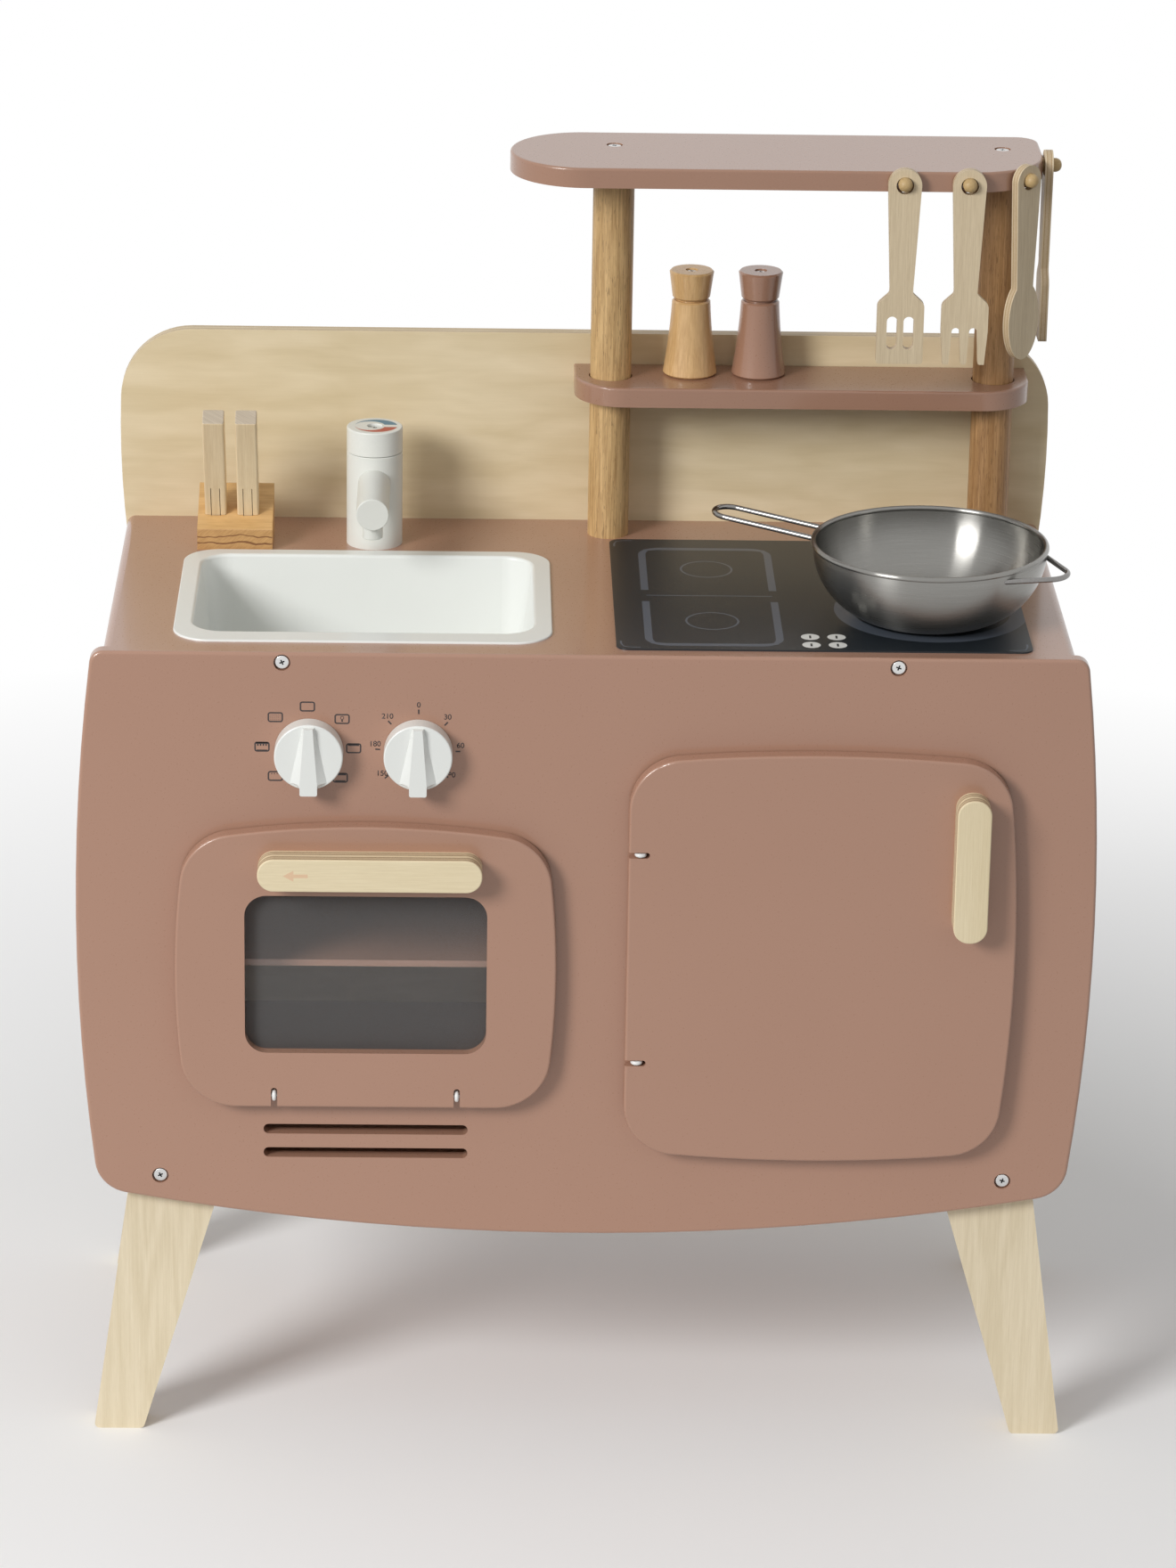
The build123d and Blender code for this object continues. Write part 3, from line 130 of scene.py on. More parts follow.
class Finish:
    """The node tree of a material, or of the world, and what adds nodes to it."""

    def __init__(self, owner, constants=()):
        owner.use_nodes = True
        self.material = owner
        self.tree = owner.node_tree
        self.shader = self.tree.nodes.get("Principled BSDF") or self.tree.nodes["Background"]
        self.set(self.shader, dict(constants))

    def set(self, made, sockets):
        """Gives each named input of a node a value, a field or another node's output."""
        for name, value in sockets.items():
            if isinstance(value, Field):
                value = value.socket
            if isinstance(value, bpy.types.NodeSocket):
                self.tree.links.new(value, made.inputs[name])
            else:
                made.inputs[name].default_value = value

    def node(self, kind, settings=(), sockets=()):
        """Adds a node, gives it its settings, and then its sockets."""
        made = self.tree.nodes.new("ShaderNode" + kind)
        for name, value in dict(settings).items():
            setattr(made, name, value)
        self.set(made, dict(sockets))
        return made

    def math(self, operation, *values):
        return Field(self, self.node("Math", {"operation": operation}, enumerate(values)).outputs[0])

    def place(self):
        """Point on the piece, in metres, which stays with the piece when it moves."""
        return self.node("TexCoord").outputs["Object"]

    def along(self, direction):
        """How far a point lies along a direction."""
        dot = self.node("VectorMath", {"operation": "DOT_PRODUCT"}, {0: self.place(), 1: direction})
        return Field(self, dot.outputs["Value"])

    def noise(self, size, turn=(0, 0, 0), detail=2, distortion=0):
        """Cloudy value from 0 to 1. The clouds' size in metres is one number, or one along each axis."""
        if isinstance(size, float):
            size = (size, size, size)
        cells = self.node("Mapping", {"vector_type": "TEXTURE"},
                          {"Vector": self.place(), "Rotation": turn, "Scale": size})
        clouds = self.node("TexNoise", {}, {"Vector": cells.outputs[0], "Scale": 1, "Detail": detail,
                                            "Distortion": distortion})
        return Field(self, clouds.outputs["Fac"])

    def mix(self, factor, first, second):
        """Colour between two colours."""
        blend = self.node("Mix", {"data_type": "RGBA"}, {0: factor, 6: first, 7: second})
        return blend.outputs[2]

    def lay(self, mask, laid):
        """Lays a colour over the base colour where the mask is 1."""
        bare = self.shader.inputs["Base Color"].links[0].from_socket
        self.set(self.shader, {"Base Color": self.mix(mask, bare, laid)})

    def bump(self, height, depth):
        """Dents of this depth in metres on the shader."""
        dents = self.node("Bump", {}, {"Height": height, "Distance": depth, "Strength": 1})
        self.set(self.shader, {"Normal": dents.outputs[0]})


def colour(red, green, blue):
    """Linear colour from the 0 to 255 values that a screen shows."""
    parts = [part / 255 for part in (red, green, blue)]
    return [part / 12.92 if part <= 0.04045 else ((part + 0.055) / 1.055) ** 2.4 for part in parts] + [1]


def distance(x, y):
    """How far a point lies from where x and y are both zero."""
    return (x ** 2 + y ** 2) ** 0.5


def seen_directly(finish):
    """1 for rays that show the background: to the camera, and in metal and clear plastic."""
    rays = finish.node("LightPath")
    to_camera, in_metal, in_plastic = (Field(finish, rays.outputs[name]) for name in (
        "Is Camera Ray", "Is Glossy Ray", "Is Transmission Ray"))
    return to_camera | in_metal | in_plastic


white = (1, 1, 1, 1)
room_light = 0.50
lamp_point = Vector((-2.31, -2.48, 2.13))
lamp_target = Vector((0.0, 0.0, 0.4))
lamp_width = 1.35
lamp_watts = 102
floor_half = 8.0
floor_colour = (0.9, 0.9, 0.9, 1)
floor_fade_start = 0.45
floor_fade_length = 0.9

room = bpy.data.worlds.new("room")
bpy.context.scene.world = room
room_finish = Finish(room, {"Color": white})
room_strength = room_light + seen_directly(room_finish) * (1 - room_light)
room_finish.set(room_finish.shader, {"Strength": room_strength})

lamp = bpy.data.objects.new("soft_lamp", bpy.data.lights.new("soft_lamp", "AREA"))
lamp.data.shape = "DISK"
lamp.data.size = lamp_width
lamp.data.energy = lamp_watts
lamp.matrix_world = Matrix.Translation(lamp_point) @ (
    lamp_target - lamp_point).to_track_quat("-Z", "Y").to_matrix().to_4x4()
bpy.context.scene.collection.objects.link(lamp)

bpy.ops.object.select_all(action="DESELECT")
bpy.ops.mesh.primitive_plane_add(size=2 * floor_half)
floor = bpy.context.object
floor.name = "floor"
floor_finish = Finish(bpy.data.materials.new("pale_floor"), {"Base Color": floor_colour, "Roughness": 1})
glow = floor_finish.node("Emission", {}, {"Color": white, "Strength": seen_directly(floor_finish)})
from_middle = distance(floor_finish.along((1, 0, 0)), floor_finish.along((0, 1, 0)))
fade = ((from_middle - floor_fade_start) / floor_fade_length | 0) & 1
mixed = floor_finish.node("MixShader", {}, {0: fade, 1: floor_finish.shader.outputs[0], 2: glow.outputs[0]})
floor_finish.set(floor_finish.tree.nodes["Material Output"], {"Surface": mixed.outputs[0]})
floor.data.materials.append(floor_finish.material)


# Painted boards
# Smooth boards sprayed all over in one satin dusty brown: the cabinet with its bowed front, both
# shelves, both doors and the painted shaker. The spray leaves a very fine texture. The shelves and
# the painted shaker get a darker copy of the same paint, which is painted shade.
def dress(finish, *names):
    """Gives CAD nodes a finish."""
    for name in names:
        for holder in nodes[name].material_slots:
            holder.material = finish.material


def even_finish(name, first, second, grain, roughness, dents=None, clouds=None, detail=3, constants=()):
    """Finish between two colours, for a surface without a direction. Its grain, clouds and dents are
    in metres, and its roughness is the least and what the grain adds. Without clouds of their own
    the colours follow the grain."""
    finish = Finish(bpy.data.materials.new(name), constants)
    texture = finish.noise(grain, detail=detail)
    blend = finish.noise(clouds) if clouds else texture
    least, spread = roughness
    finish.set(finish.shader, {"Base Color": finish.mix(blend, first, second),
                               "Roughness": least + spread * texture})
    if dents:
        finish.bump(texture, dents)
    return finish


def satin_paint(name, lit, shaded):
    """Sprayed satin paint that varies a little between two browns."""
    return even_finish(name, lit, shaded, grain=0.0012, roughness=(0.24, 0.1), dents=0.00002, clouds=0.12,
                       constants={"Coat Weight": 0.42, "Coat Roughness": 0.12})


dress(satin_paint("cabinet_paint", colour(171, 131, 110), colour(167, 127, 106)),
      "front_plate", "counter_top", "side_panel_left", "side_panel_right", "bottom_panel",
      "divider_panel", "oven_shelf", "oven_door", "cupboard_door")
# The same paint made darker on the raised shelves and the painted shaker: painted shade.
dress(satin_paint("shaded_shelf_paint", colour(160, 121, 99), colour(156, 117, 95)),
      "mid_shelf", "top_shelf", "shaker_painted_body", "shaker_painted_cap")


# Dial print
# Seven symbols round the left knob and a scale of numbers round the right one, printed in one dark
# ink on the painted front plate. They are drawn in millimetres on the ground and then stood up.
plate_front = -0.12025
ink_height = 0.00006
frame_size = (8.9, 6.2)
frame_stroke = 0.85
frame_round = 1.5
bulb_size = (2.2, 2.2)
bulb_rise = 0.7
bulb_stroke = 0.35
bulb_round = 1.0
symbol_places = {"plain": (-163.8, 471.3), "dots": (-182.4, 464.6), "comb": (-190.2, 446.3),
                 "top dots": (-182.5, 428.2), "bulb": (-143.7, 463.8), "top bar": (-137.0, 445.8),
                 "two bars": (-144.7, 427.5)}
# Each bar's symbol, place from the symbol's middle, width and height
symbol_bars = [("comb", 0, 2.2, 7.0, 1.1), ("comb", -2.4, 1.1, 0.8, 1.1), ("comb", -0.8, 1.1, 0.8, 1.1),
               ("comb", 0.8, 1.1, 0.8, 1.1), ("comb", 2.4, 1.1, 0.8, 1.1), ("comb", 0, -2.2, 6.2, 0.8),
               ("top bar", 0, 2.0, 6.4, 1.1), ("two bars", 0, 2.0, 6.4, 1.0), ("two bars", 0, -2.0, 6.0, 0.9),
               ("bulb", 0, -1.1, 0.9, 1.2)]
# Each field of dots: its symbol, its first dot, columns and their spacing, rows and their spacing, radius
symbol_dots = [("dots", -2.7, -1.5, 7, 0.9, 4, 1.0, 0.17), ("top dots", -2.1, 1.5, 3, 1.6, 1, 0, 0.35)]
# Each number with its place and its tick's place
scale_marks = [("0", -99.3, 472.8, -99.3, 468.7), ("30", -82.5, 465.5, -83.3, 461.4),
               ("60", -74.9, 448.0, -76.4, 444.4), ("90", -79.9, 429.7, -83.0, 429.1),
               ("150", -120.4, 430.4, -117.8, 428.3), ("180", -124.6, 448.6, -123.0, 445.3),
               ("210", -117.4, 465.7, -116.1, 461.9)]
dial_middle = Vector((-99.45, 444.0))
number_size = 4.6
number_weight = 0.05
tick_size = (0.9, 2.8)


def flat_bar(x, y, width, height, turn=0.0):
    """Flat rectangle."""
    bpy.ops.object.select_all(action="DESELECT")
    bpy.ops.mesh.primitive_plane_add(size=1, location=(x, y, 0), rotation=(0, 0, turn))
    bpy.context.object.scale = (width, height, 1)
    bpy.ops.object.transform_apply(location=True, rotation=True, scale=True)
    inks.append(bpy.context.object)


def flat_dot(x, y, radius):
    """Flat disc."""
    bpy.ops.object.select_all(action="DESELECT")
    bpy.ops.mesh.primitive_circle_add(vertices=12, radius=radius, fill_type="NGON", location=(x, y, 0))
    bpy.ops.object.transform_apply(location=True)
    inks.append(bpy.context.object)


def flat_frame(x, y, size, corner, stroke):
    """Rounded rectangle drawn as a line."""
    flat_bar(x, y, *size)
    bpy.ops.object.mode_set(mode="EDIT")
    bpy.ops.mesh.select_all(action="SELECT")
    bpy.ops.mesh.bevel(offset=corner, segments=4, affect="VERTICES")
    bpy.ops.mesh.select_all(action="SELECT")
    bpy.ops.mesh.inset(thickness=stroke)
    bpy.ops.mesh.delete(type="FACE")
    bpy.ops.object.mode_set(mode="OBJECT")


def flat_number(number, x, y):
    """Flat writing with its middle at a point."""
    bpy.ops.object.select_all(action="DESELECT")
    bpy.ops.object.text_add()
    writing = bpy.context.object
    writing.data.body = number
    writing.data.size = number_size
    writing.data.align_x = "CENTER"
    writing.data.align_y = "CENTER"
    writing.data.offset = number_weight
    bpy.ops.object.convert(target="MESH")
    writing = bpy.context.object
    writing.data.transform(Matrix.Translation((x, y, 0)))
    inks.append(writing)


def joined(pieces, name):
    """Joins pieces into one and names it."""
    bpy.ops.object.select_all(action="DESELECT")
    for piece in pieces:
        piece.select_set(True)
    bpy.context.view_layer.objects.active = pieces[0]
    if len(pieces) > 1:
        bpy.ops.object.join()
    piece = bpy.context.view_layer.objects.active
    piece.name = name
    return piece


inks = []
for number, x, y, tick_x, tick_y in scale_marks:
    flat_number(number, x, y)
    ray = Vector((tick_x, tick_y)) - dial_middle
    flat_bar(tick_x, tick_y, *tick_size, turn=-atan2(ray.x, ray.y))
for x, y in symbol_places.values():
    flat_frame(x, y, frame_size, frame_round, frame_stroke)
for symbol, x, y, width, height in symbol_bars:
    middle_x, middle_y = symbol_places[symbol]
    flat_bar(middle_x + x, middle_y + y, width, height)
for symbol, x, y, columns, column_spacing, rows, row_spacing, radius in symbol_dots:
    middle_x, middle_y = symbol_places[symbol]
    for row in range(rows):
        for column in range(columns):
            flat_dot(middle_x + x + column * column_spacing, middle_y + y + row * row_spacing, radius)
bulb_x, bulb_y = symbol_places["bulb"]
flat_frame(bulb_x, bulb_y + bulb_rise, bulb_size, bulb_round, bulb_stroke)

dial_print = joined(inks, "dial_print")
millimetre = Matrix.Scale(0.001, 4)
on_plate = Matrix.Translation((0, plate_front, 0)) @ Matrix.Rotation(pi / 2, 4, "X")
dial_print.data.transform(on_plate @ millimetre)
thickness = dial_print.modifiers.new("thickness", "SOLIDIFY")
thickness.thickness = ink_height
thickness.offset = 1
bpy.ops.object.modifier_apply(modifier=thickness.name)
ink = even_finish("dark_ink", colour(52, 46, 46), colour(68, 58, 56), grain=0.0015, roughness=(0.4, 0.2))
dial_print.data.materials.clear()
dial_print.data.materials.append(ink.material)
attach(dial_print, "cabinet")


# Back panel
# One sheet of birch plywood with rounded upper corners, in a clear matt varnish. Its face has a fine
# long grain with soft blotches, and its edges show the glued layers.
fibre_size = (0.0009, 0.03)
fine_size = (0.0004, 0.006)
fleck_size = (0.0007, 0.007)
fleck_limit = 0.66
fleck_shade = 0.45
glue_line = 0.24
glue_speck = 0.0006
fibre_strength = 1.6
fine_strength = 0.8
fibre_depth = 0.00004
varnish_roughness = 0.42
fibre_roughness = 0.12


def band(offset, width):
    """1 within half a width of the line where the offset is zero."""
    return abs(offset) < width / 2


def through_board(name, direction):
    """Direction through a board and where its two faces lie along it."""
    spots = [vertex.co.dot(direction) for vertex in nodes[name].data.vertices]
    return direction, min(spots), max(spots)


def wood(name, pale, dark, grain, fibre=0.45, figure=0.25, figure_size=0.03, stretch=12, rings=34,
         fleck=0.0, turn=(0, 0, 0), layers=None, layer_colour=(158, 124, 84)):
    """Varnished wood with its grain along X, Y or Z. Layers are given for plywood, as the direction
    through the board, the two ends of the board along it, and the number of layers."""
    finish = Finish(bpy.data.materials.new(name))

    def stretched(across, along):
        """Size of clouds that are long on the grain's axis."""
        return [along if axis == grain else across for axis in "XYZ"]

    fibres = finish.noise(stretched(*fibre_size), turn, detail=3)
    fine = finish.noise(stretched(*fine_size), turn)
    clouds = finish.noise(stretched(figure_size, stretch * figure_size), turn, distortion=0.4)
    pattern = finish.math("SINE", clouds * rings) * 0.5 + 0.5 if rings else (clouds - 0.3) * 2.2
    lines = (fibres - 0.5) * (fibre_strength * fibre) + (fine - 0.5) * (fine_strength * fibre)
    shade = lines + 0.5 * (1 - figure) + pattern * figure
    base = finish.mix((shade | 0) & 1, pale, dark)
    if fleck:
        flecks = finish.noise(stretched(*fleck_size), turn, detail=1) > fleck_limit
        base = finish.mix(flecks * fleck, base, [part * fleck_shade for part in dark[:3]] + [1])
    if layers:
        through, low, high, count = layers
        inward = (finish.along(through) - low) / (high - low) * (count - 1) + 0.5
        from_glue = 0.5 - abs(inward % 1 - 0.5)
        crossed = finish.math("FLOOR", inward) % 2
        specks = finish.noise(glue_speck, turn)
        edge = band(from_glue, glue_line) * (0.5 + 0.6 * specks) | crossed * (0.1 + 0.5 * specks)
        base = finish.mix(edge, base, colour(*layer_colour))
    finish.set(finish.shader, {"Base Color": base, "Roughness": varnish_roughness + fibre_roughness * fibres})
    finish.bump(fibres + fine * 0.5, fibre_depth)
    return finish


ahead_of_board = Vector((0, -1, 0))
panel_layers = (*through_board("back_panel", ahead_of_board), 5)
dress(wood("back_plywood", colour(231, 215, 182), colour(206, 187, 147), "X", fibre=0.16, figure=0.6,
           figure_size=0.012, stretch=5, rings=0, layers=panel_layers), "back_panel")


# Legs
# Solid pale wood with long straight grain, sawn to a splayed taper, in a clear matt varnish. Two
# screws down through the floor panel hold each one.
dress(wood("leg_wood", colour(230, 217, 190), colour(203, 187, 154), "Z", figure=0.25, figure_size=0.02),
      "leg_front_left", "leg_front_right", "leg_rear_left", "leg_rear_right")


# Sink and knobs
# The sink is one pressed basin that hangs by its rim, and the knobs are moulded, in satin white
# plastic.
dress(even_finish("white_plastic", colour(231, 233, 229), colour(226, 228, 224), grain=0.002,
                  roughness=(0.3, 0.08), dents=0.00002, clouds=0.08,
                  constants={"Coat Weight": 0.3, "Coat Roughness": 0.15}),
      "sink_basin", "knob_left", "knob_right")


# Hob
# A thin dark sheet with a satin face, stuck on the counter. It is printed with two framed cooking
# zones, one large ring, four small white marks and a short line round each corner.
zone_x = 0.0725
zone_half_width = 0.0375
zone_half_depth = 0.06
zone_round = 0.011
zone_stroke = 0.006
rear_zone_top = 0.0764
rear_zone_end = -0.002
front_zone_start = -0.023
front_zone_bottom = -0.1007
fine_line = 0.0012
zone_divider_y = -0.012
rear_ring_y = 0.0383
front_ring_y = -0.0585
small_ring = 0.0153
large_ring_x = 0.203
large_ring_y = -0.0362
large_ring = 0.0522
large_ring_stroke = 0.0105
corner_inset = 0.003
corner_round = 0.008
corner_reach = 0.014
corner_line = 0.0015
disc_group_x = 0.1364
disc_group_y = -0.0929
disc_spacing = 0.0154
disc_rise = 0.0143
disc_radius = 0.0054
tick_width = 0.0012
tick_length = 0.005
line_cover = 0.85


def rounded_box(x, y, half_x, half_y, radius):
    """Distance to the edge of a rounded rectangle, below zero inside it."""
    over_x = abs(x) - (half_x - radius) | 0
    over_y = abs(y) - (half_y - radius) | 0
    inner = abs(x) - half_x | abs(y) - half_y
    return (inner & 0) + distance(over_x, over_y) - radius * (inner > -radius)


def ring_line(x, y, radius, width):
    """1 on a ring."""
    return band(distance(x, y) - radius, width)


hob = even_finish("hob_print", colour(35, 41, 46), colour(31, 36, 41), grain=0.001, roughness=(0.3, 0.08),
                  dents=0.00001, clouds=0.1)
hob_x = hob.along((1, 0, 0))
hob_y = hob.along((0, 1, 0))
print_x = hob_x - zone_x
rear_zone = rounded_box(print_x, hob_y - (rear_zone_top - zone_half_depth), zone_half_width, zone_half_depth,
                        zone_round)
front_zone = rounded_box(print_x, hob_y - (front_zone_bottom + zone_half_depth), zone_half_width,
                         zone_half_depth, zone_round)
marks = band(rear_zone, zone_stroke) * (hob_y > rear_zone_end)
marks |= band(front_zone, zone_stroke) * (hob_y < front_zone_start)
marks |= ring_line(print_x, hob_y - rear_ring_y, small_ring, fine_line)
marks |= ring_line(print_x, hob_y - front_ring_y, small_ring, fine_line)
marks |= band(hob_y - zone_divider_y, fine_line) * (abs(print_x) < zone_half_width)
marks |= ring_line(hob_x - large_ring_x, hob_y - large_ring_y, large_ring, large_ring_stroke)

sheet_low, sheet_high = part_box("hob_plate")
sheet_middle = (sheet_low + sheet_high) / 2
sheet_half = (sheet_high - sheet_low) / 2
from_x = hob_x - sheet_middle.x
from_y = hob_y - sheet_middle.y
border = rounded_box(from_x, from_y, sheet_half.x - corner_inset, sheet_half.y - corner_inset, corner_round)
corner = (abs(from_x) > sheet_half.x - corner_reach) * (abs(from_y) > sheet_half.y - corner_reach)
marks |= band(border, corner_line) * corner

disc_x = abs(hob_x - disc_group_x) - disc_spacing / 2
disc_y = abs(hob_y - disc_group_y) - disc_rise / 2
discs = distance(disc_x, disc_y) < disc_radius
ticks = band(disc_x, tick_width) * band(disc_y, tick_length)
hob.lay(marks * line_cover, colour(92, 99, 110))
hob.lay(discs * (1 - ticks), colour(226, 226, 222))
dress(hob, "hob_plate")


# Posts and pegs
# Two round hardwood posts with short dark flecks, the right one redder and also darker, which is
# painted shade. They stand on the counter and carry both shelves. The utensils' pegs are plainer
# dowels, glued into the top shelf's edge.
post_look = {"fibre": 1.1, "figure": 0.3, "figure_size": 0.01, "stretch": 20, "fleck": 0.45}
dress(wood("post_wood", colour(218, 183, 130), colour(166, 131, 84), "Z", **post_look), "post_left")
# The right post's wood is redder, and darker as painted shade.
dress(wood("red_shaded_post_wood", colour(190, 148, 100), colour(140, 100, 58), "Z", **post_look), "post_right")
dress(wood("peg_wood", colour(205, 178, 128), colour(168, 136, 88), "Y", figure=0.1), "utensil_pegs")


# Tap
# A turned wooden tap in satin white paint: a body, a spout let into it and a nozzle let into the
# spout. Its turning top has a printed blue and a red crescent.
crescent_outer = 0.0129
crescent_outer_shift = 0.0009
crescent_inner = 0.0091
crescent_inner_shift = -0.0029
crescent_gap = 0.0047
print_depth = 0.0002

dress(even_finish("white_paint", colour(223, 224, 218), colour(218, 219, 212), grain=0.0015,
                  roughness=(0.38, 0.1), dents=0.00002, clouds=0.05),
      "tap_body", "tap_spout", "tap_nozzle")
cap_print = even_finish("tap_cap_print", colour(226, 227, 221), colour(220, 221, 214), grain=0.0015,
                        roughness=(0.32, 0.1), dents=0.00002)
cap_low, cap_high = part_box("tap_cap")
cap_middle = (cap_low + cap_high) / 2
cap_x = cap_print.along((1, 0, 0)) - cap_middle.x
cap_y = cap_print.along((0, 1, 0)) - cap_middle.y
on_top = cap_print.along((0, 0, 1)) > cap_high.z - print_depth
inside = distance(cap_x - crescent_outer_shift, cap_y) < crescent_outer
outside = distance(cap_x - crescent_inner_shift, cap_y) > crescent_inner
gap = band(cap_y, crescent_gap) * (cap_x > 0)
cold_or_hot = cap_print.mix(cap_y > 0, colour(178, 74, 58), colour(78, 124, 148))
cap_print.lay(on_top * outside * inside * (1 - gap), cold_or_hot)
dress(cap_print, "tap_cap")


# Knife block
# A sawn wedge of golden wood with a sloping top and two slots, screwed on through the counter. Its
# front shows sloping saw marks and, low down, two dark wavy lines.
block_skin = 0.0002
hatch_size = (0.0005, 0.0005, 0.004)
hatch_turn = (0, radians(50), 0)
hatch_cover = 0.9
wave_cover = 0.8
wave_size = 0.012
wave_height = 0.006
lower_line_rise = 0.0042
lower_line_width = 0.0011
upper_line_rise = 0.0087
upper_line_width = 0.0008

block_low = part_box("knife_block")[0]
block = wood("block_wood", colour(224, 184, 126), colour(182, 138, 82), "X", fibre=0.5, figure=0.5,
             figure_size=0.006, stretch=4, rings=0)
in_front = block.along((0, -1, 0)) > -block_low.y - block_skin
hatch = block.noise(hatch_size, hatch_turn, detail=3)
line_rise = block.along((0, 0, 1)) - block_low.z + (block.noise(wave_size) - 0.5) * wave_height
wavy = band(line_rise - lower_line_rise, lower_line_width)
wavy |= band(line_rise - upper_line_rise, upper_line_width)
sawn = block.mix(hatch * hatch_cover, colour(212, 168, 110), colour(150, 106, 60))
block.lay(in_front, block.mix(wavy * wave_cover, sawn, colour(104, 58, 26)))
dress(block, "knife_block")


# Knives
# Square bars of pale wood that lean forward out of the block, each with a wooden blade glued into
# its lower end. Their sawn tops show the end grain, greyer and across the corner.
knife_lean = radians(25.7)
knife_skin = 0.0003
end_grain_size = (0.0005, 0.02, 0.02)
end_grain_turn = (0, 0, radians(55))

knife_axis = Vector((0, -sin(knife_lean), cos(knife_lean)))
knife = wood("knife_wood", colour(244, 224, 188), colour(210, 184, 142), "Z", fibre=0.5, figure=0.25, rings=0,
             turn=(knife_lean, 0, 0))
knife_top = through_board("knife_left_handle", knife_axis)[2]
on_end = knife.along(knife_axis) > knife_top - knife_skin
end_grain = knife.noise(end_grain_size, end_grain_turn)
knife.lay(on_end, knife.mix(end_grain, colour(214, 200, 178), colour(158, 142, 122)))
dress(knife, "knife_left_handle", "knife_right_handle", "knife_left_blade", "knife_right_blade")


# Natural shaker
# The shaker that isn't painted: a body and its turning cap, both turned from warm golden wood. Their
# clear varnish is glossier than that of the other wood.
shaker_wood = wood("shaker_wood", colour(225, 188, 134), colour(182, 140, 86), "Z", fibre=0.5, figure=0.25,
                   figure_size=0.01)
shaker_wood.set(shaker_wood.shader, {"Coat Weight": 0.4})
dress(shaker_wood, "shaker_natural_body", "shaker_natural_cap")


# Window
# A clear plastic pane, a little smaller than the rebate in the oven door that it lies in. It is a
# little hazy and darkens what lies behind it.
pane_cover = 0.08
haze_cover = 0.04
haze_size = 0.004

pane = Finish(bpy.data.materials.new("hazy_pane"), {"Roughness": 0.1})
haze = pane.noise(haze_size, detail=4)
pane.set(pane.shader, {"Base Color": pane.mix(haze, colour(190, 190, 190), colour(170, 170, 170)),
                       "Alpha": pane_cover + haze_cover * haze})
dress(pane, "oven_window")


# Door handles
# Rounded bars of birch plywood whose edges show the layers, screwed on from the back of the doors.
# The oven's has a pale arrow printed near its left end.
arrow_inset = 0.015
arrow_head = 0.0062
arrow_slope = 0.55
arrow_length = 0.0145
arrow_stem = 0.0022
arrow_cover = 0.8
handle_skin = 0.0003

handle_layers = (*through_board("oven_handle", ahead_of_board), 5)
level_handle, upright_handle = (
    wood(name, colour(237, 223, 190), colour(212, 194, 156), grain, figure=0.3, stretch=6, rings=0,
         layers=handle_layers, layer_colour=(122, 86, 50))
    for name, grain in (("handle_plywood_level", "X"), ("handle_plywood_upright", "Z")))
handle_low, handle_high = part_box("oven_handle")
from_tip = level_handle.along((1, 0, 0)) - (handle_low.x + arrow_inset)
off_middle = abs(level_handle.along((0, 0, 1)) - (handle_low.z + handle_high.z) / 2)
arrow = (off_middle < from_tip * arrow_slope) * (from_tip < arrow_head)
arrow |= (off_middle < arrow_stem / 2) * (from_tip > arrow_head / 2) * (from_tip < arrow_length)
on_face = level_handle.along((0, -1, 0)) > -handle_low.y - handle_skin
level_handle.lay(arrow * on_face * arrow_cover, colour(222, 184, 150))
dress(level_handle, "oven_handle")
dress(upright_handle, "cupboard_handle")


# Utensils
# A turner, a fork, a spoon and a spatula sawn from thin plywood. The spoon hangs on the peg at the
# shelf's rounded corner and the spatula on its end, so their faces look that way.
corner_peg_angle = radians(42)
utensil_directions = {"turner": ahead_of_board, "fork": ahead_of_board,
                      "spoon": Vector((sin(corner_peg_angle), -cos(corner_peg_angle), 0)),
                      "spatula": Vector((1, 0, 0))}
for utensil, direction in utensil_directions.items():
    utensil_layers = (*through_board("utensil_" + utensil, direction), 3)
    dress(wood(utensil + "_plywood", colour(228, 211, 180), colour(190, 170, 138), "Z", fibre=0.6, figure=0.2,
               rings=0, layers=utensil_layers, layer_colour=(166, 134, 92)), "utensil_" + utensil)


# Screws
# Plated steel screws with a cross recess, domed where they sit in counterbores and flat where they
# are countersunk. Their recesses are cut with a darker steel, which is painted shade. Those of the
# knobs and doors, and the magnets, keep their plain CAD form.
recess_width = 0.0012
recess_depth = 0.0015
recess_reach = 1.05
recess_taper = 0.45
head_sides = 40
dome_rim = 0.0007
dome_rim_share = 0.4
edge_break = 0.0001
tip_taper = 0.6
level_limit = 0.9
smooth_angle = radians(35)
first_turn = 23
next_turn = 47

steel = even_finish("plated_steel", colour(226, 226, 226), colour(204, 204, 202), grain=0.0008,
                    roughness=(0.24, 0.14), dents=0.00001, constants={"Metallic": 1})
# Darker steel for the walls of the cross recesses: painted shade.
recess = even_finish("unlit_recess", colour(104, 104, 106), colour(78, 78, 80), grain=0.0004,
                     roughness=(0.5, 0.1), detail=2, constants={"Metallic": 1})
dress(steel, "knob_left_screw", "knob_right_screw", "door_magnets", "oven_door_screws",
      "cupboard_door_screws")


def choose(piece, test):
    """Selects the faces that pass a test, in edit mode."""
    shape = bmesh.from_edit_mesh(piece.data)
    for face in shape.faces:
        face.select_set(bool(test(face)))
    shape.select_flush_mode()
    bmesh.update_edit_mesh(piece.data)


def start_piece(name, material):
    """Names the new primitive, keeps its place in its mesh and opens it for editing."""
    piece = bpy.context.object
    piece.name = name
    piece.data.materials.append(material)
    bpy.ops.object.transform_apply(location=True, rotation=True, scale=True)
    bpy.ops.object.mode_set(mode="EDIT")
    bpy.ops.mesh.select_mode(type="FACE")
    return piece


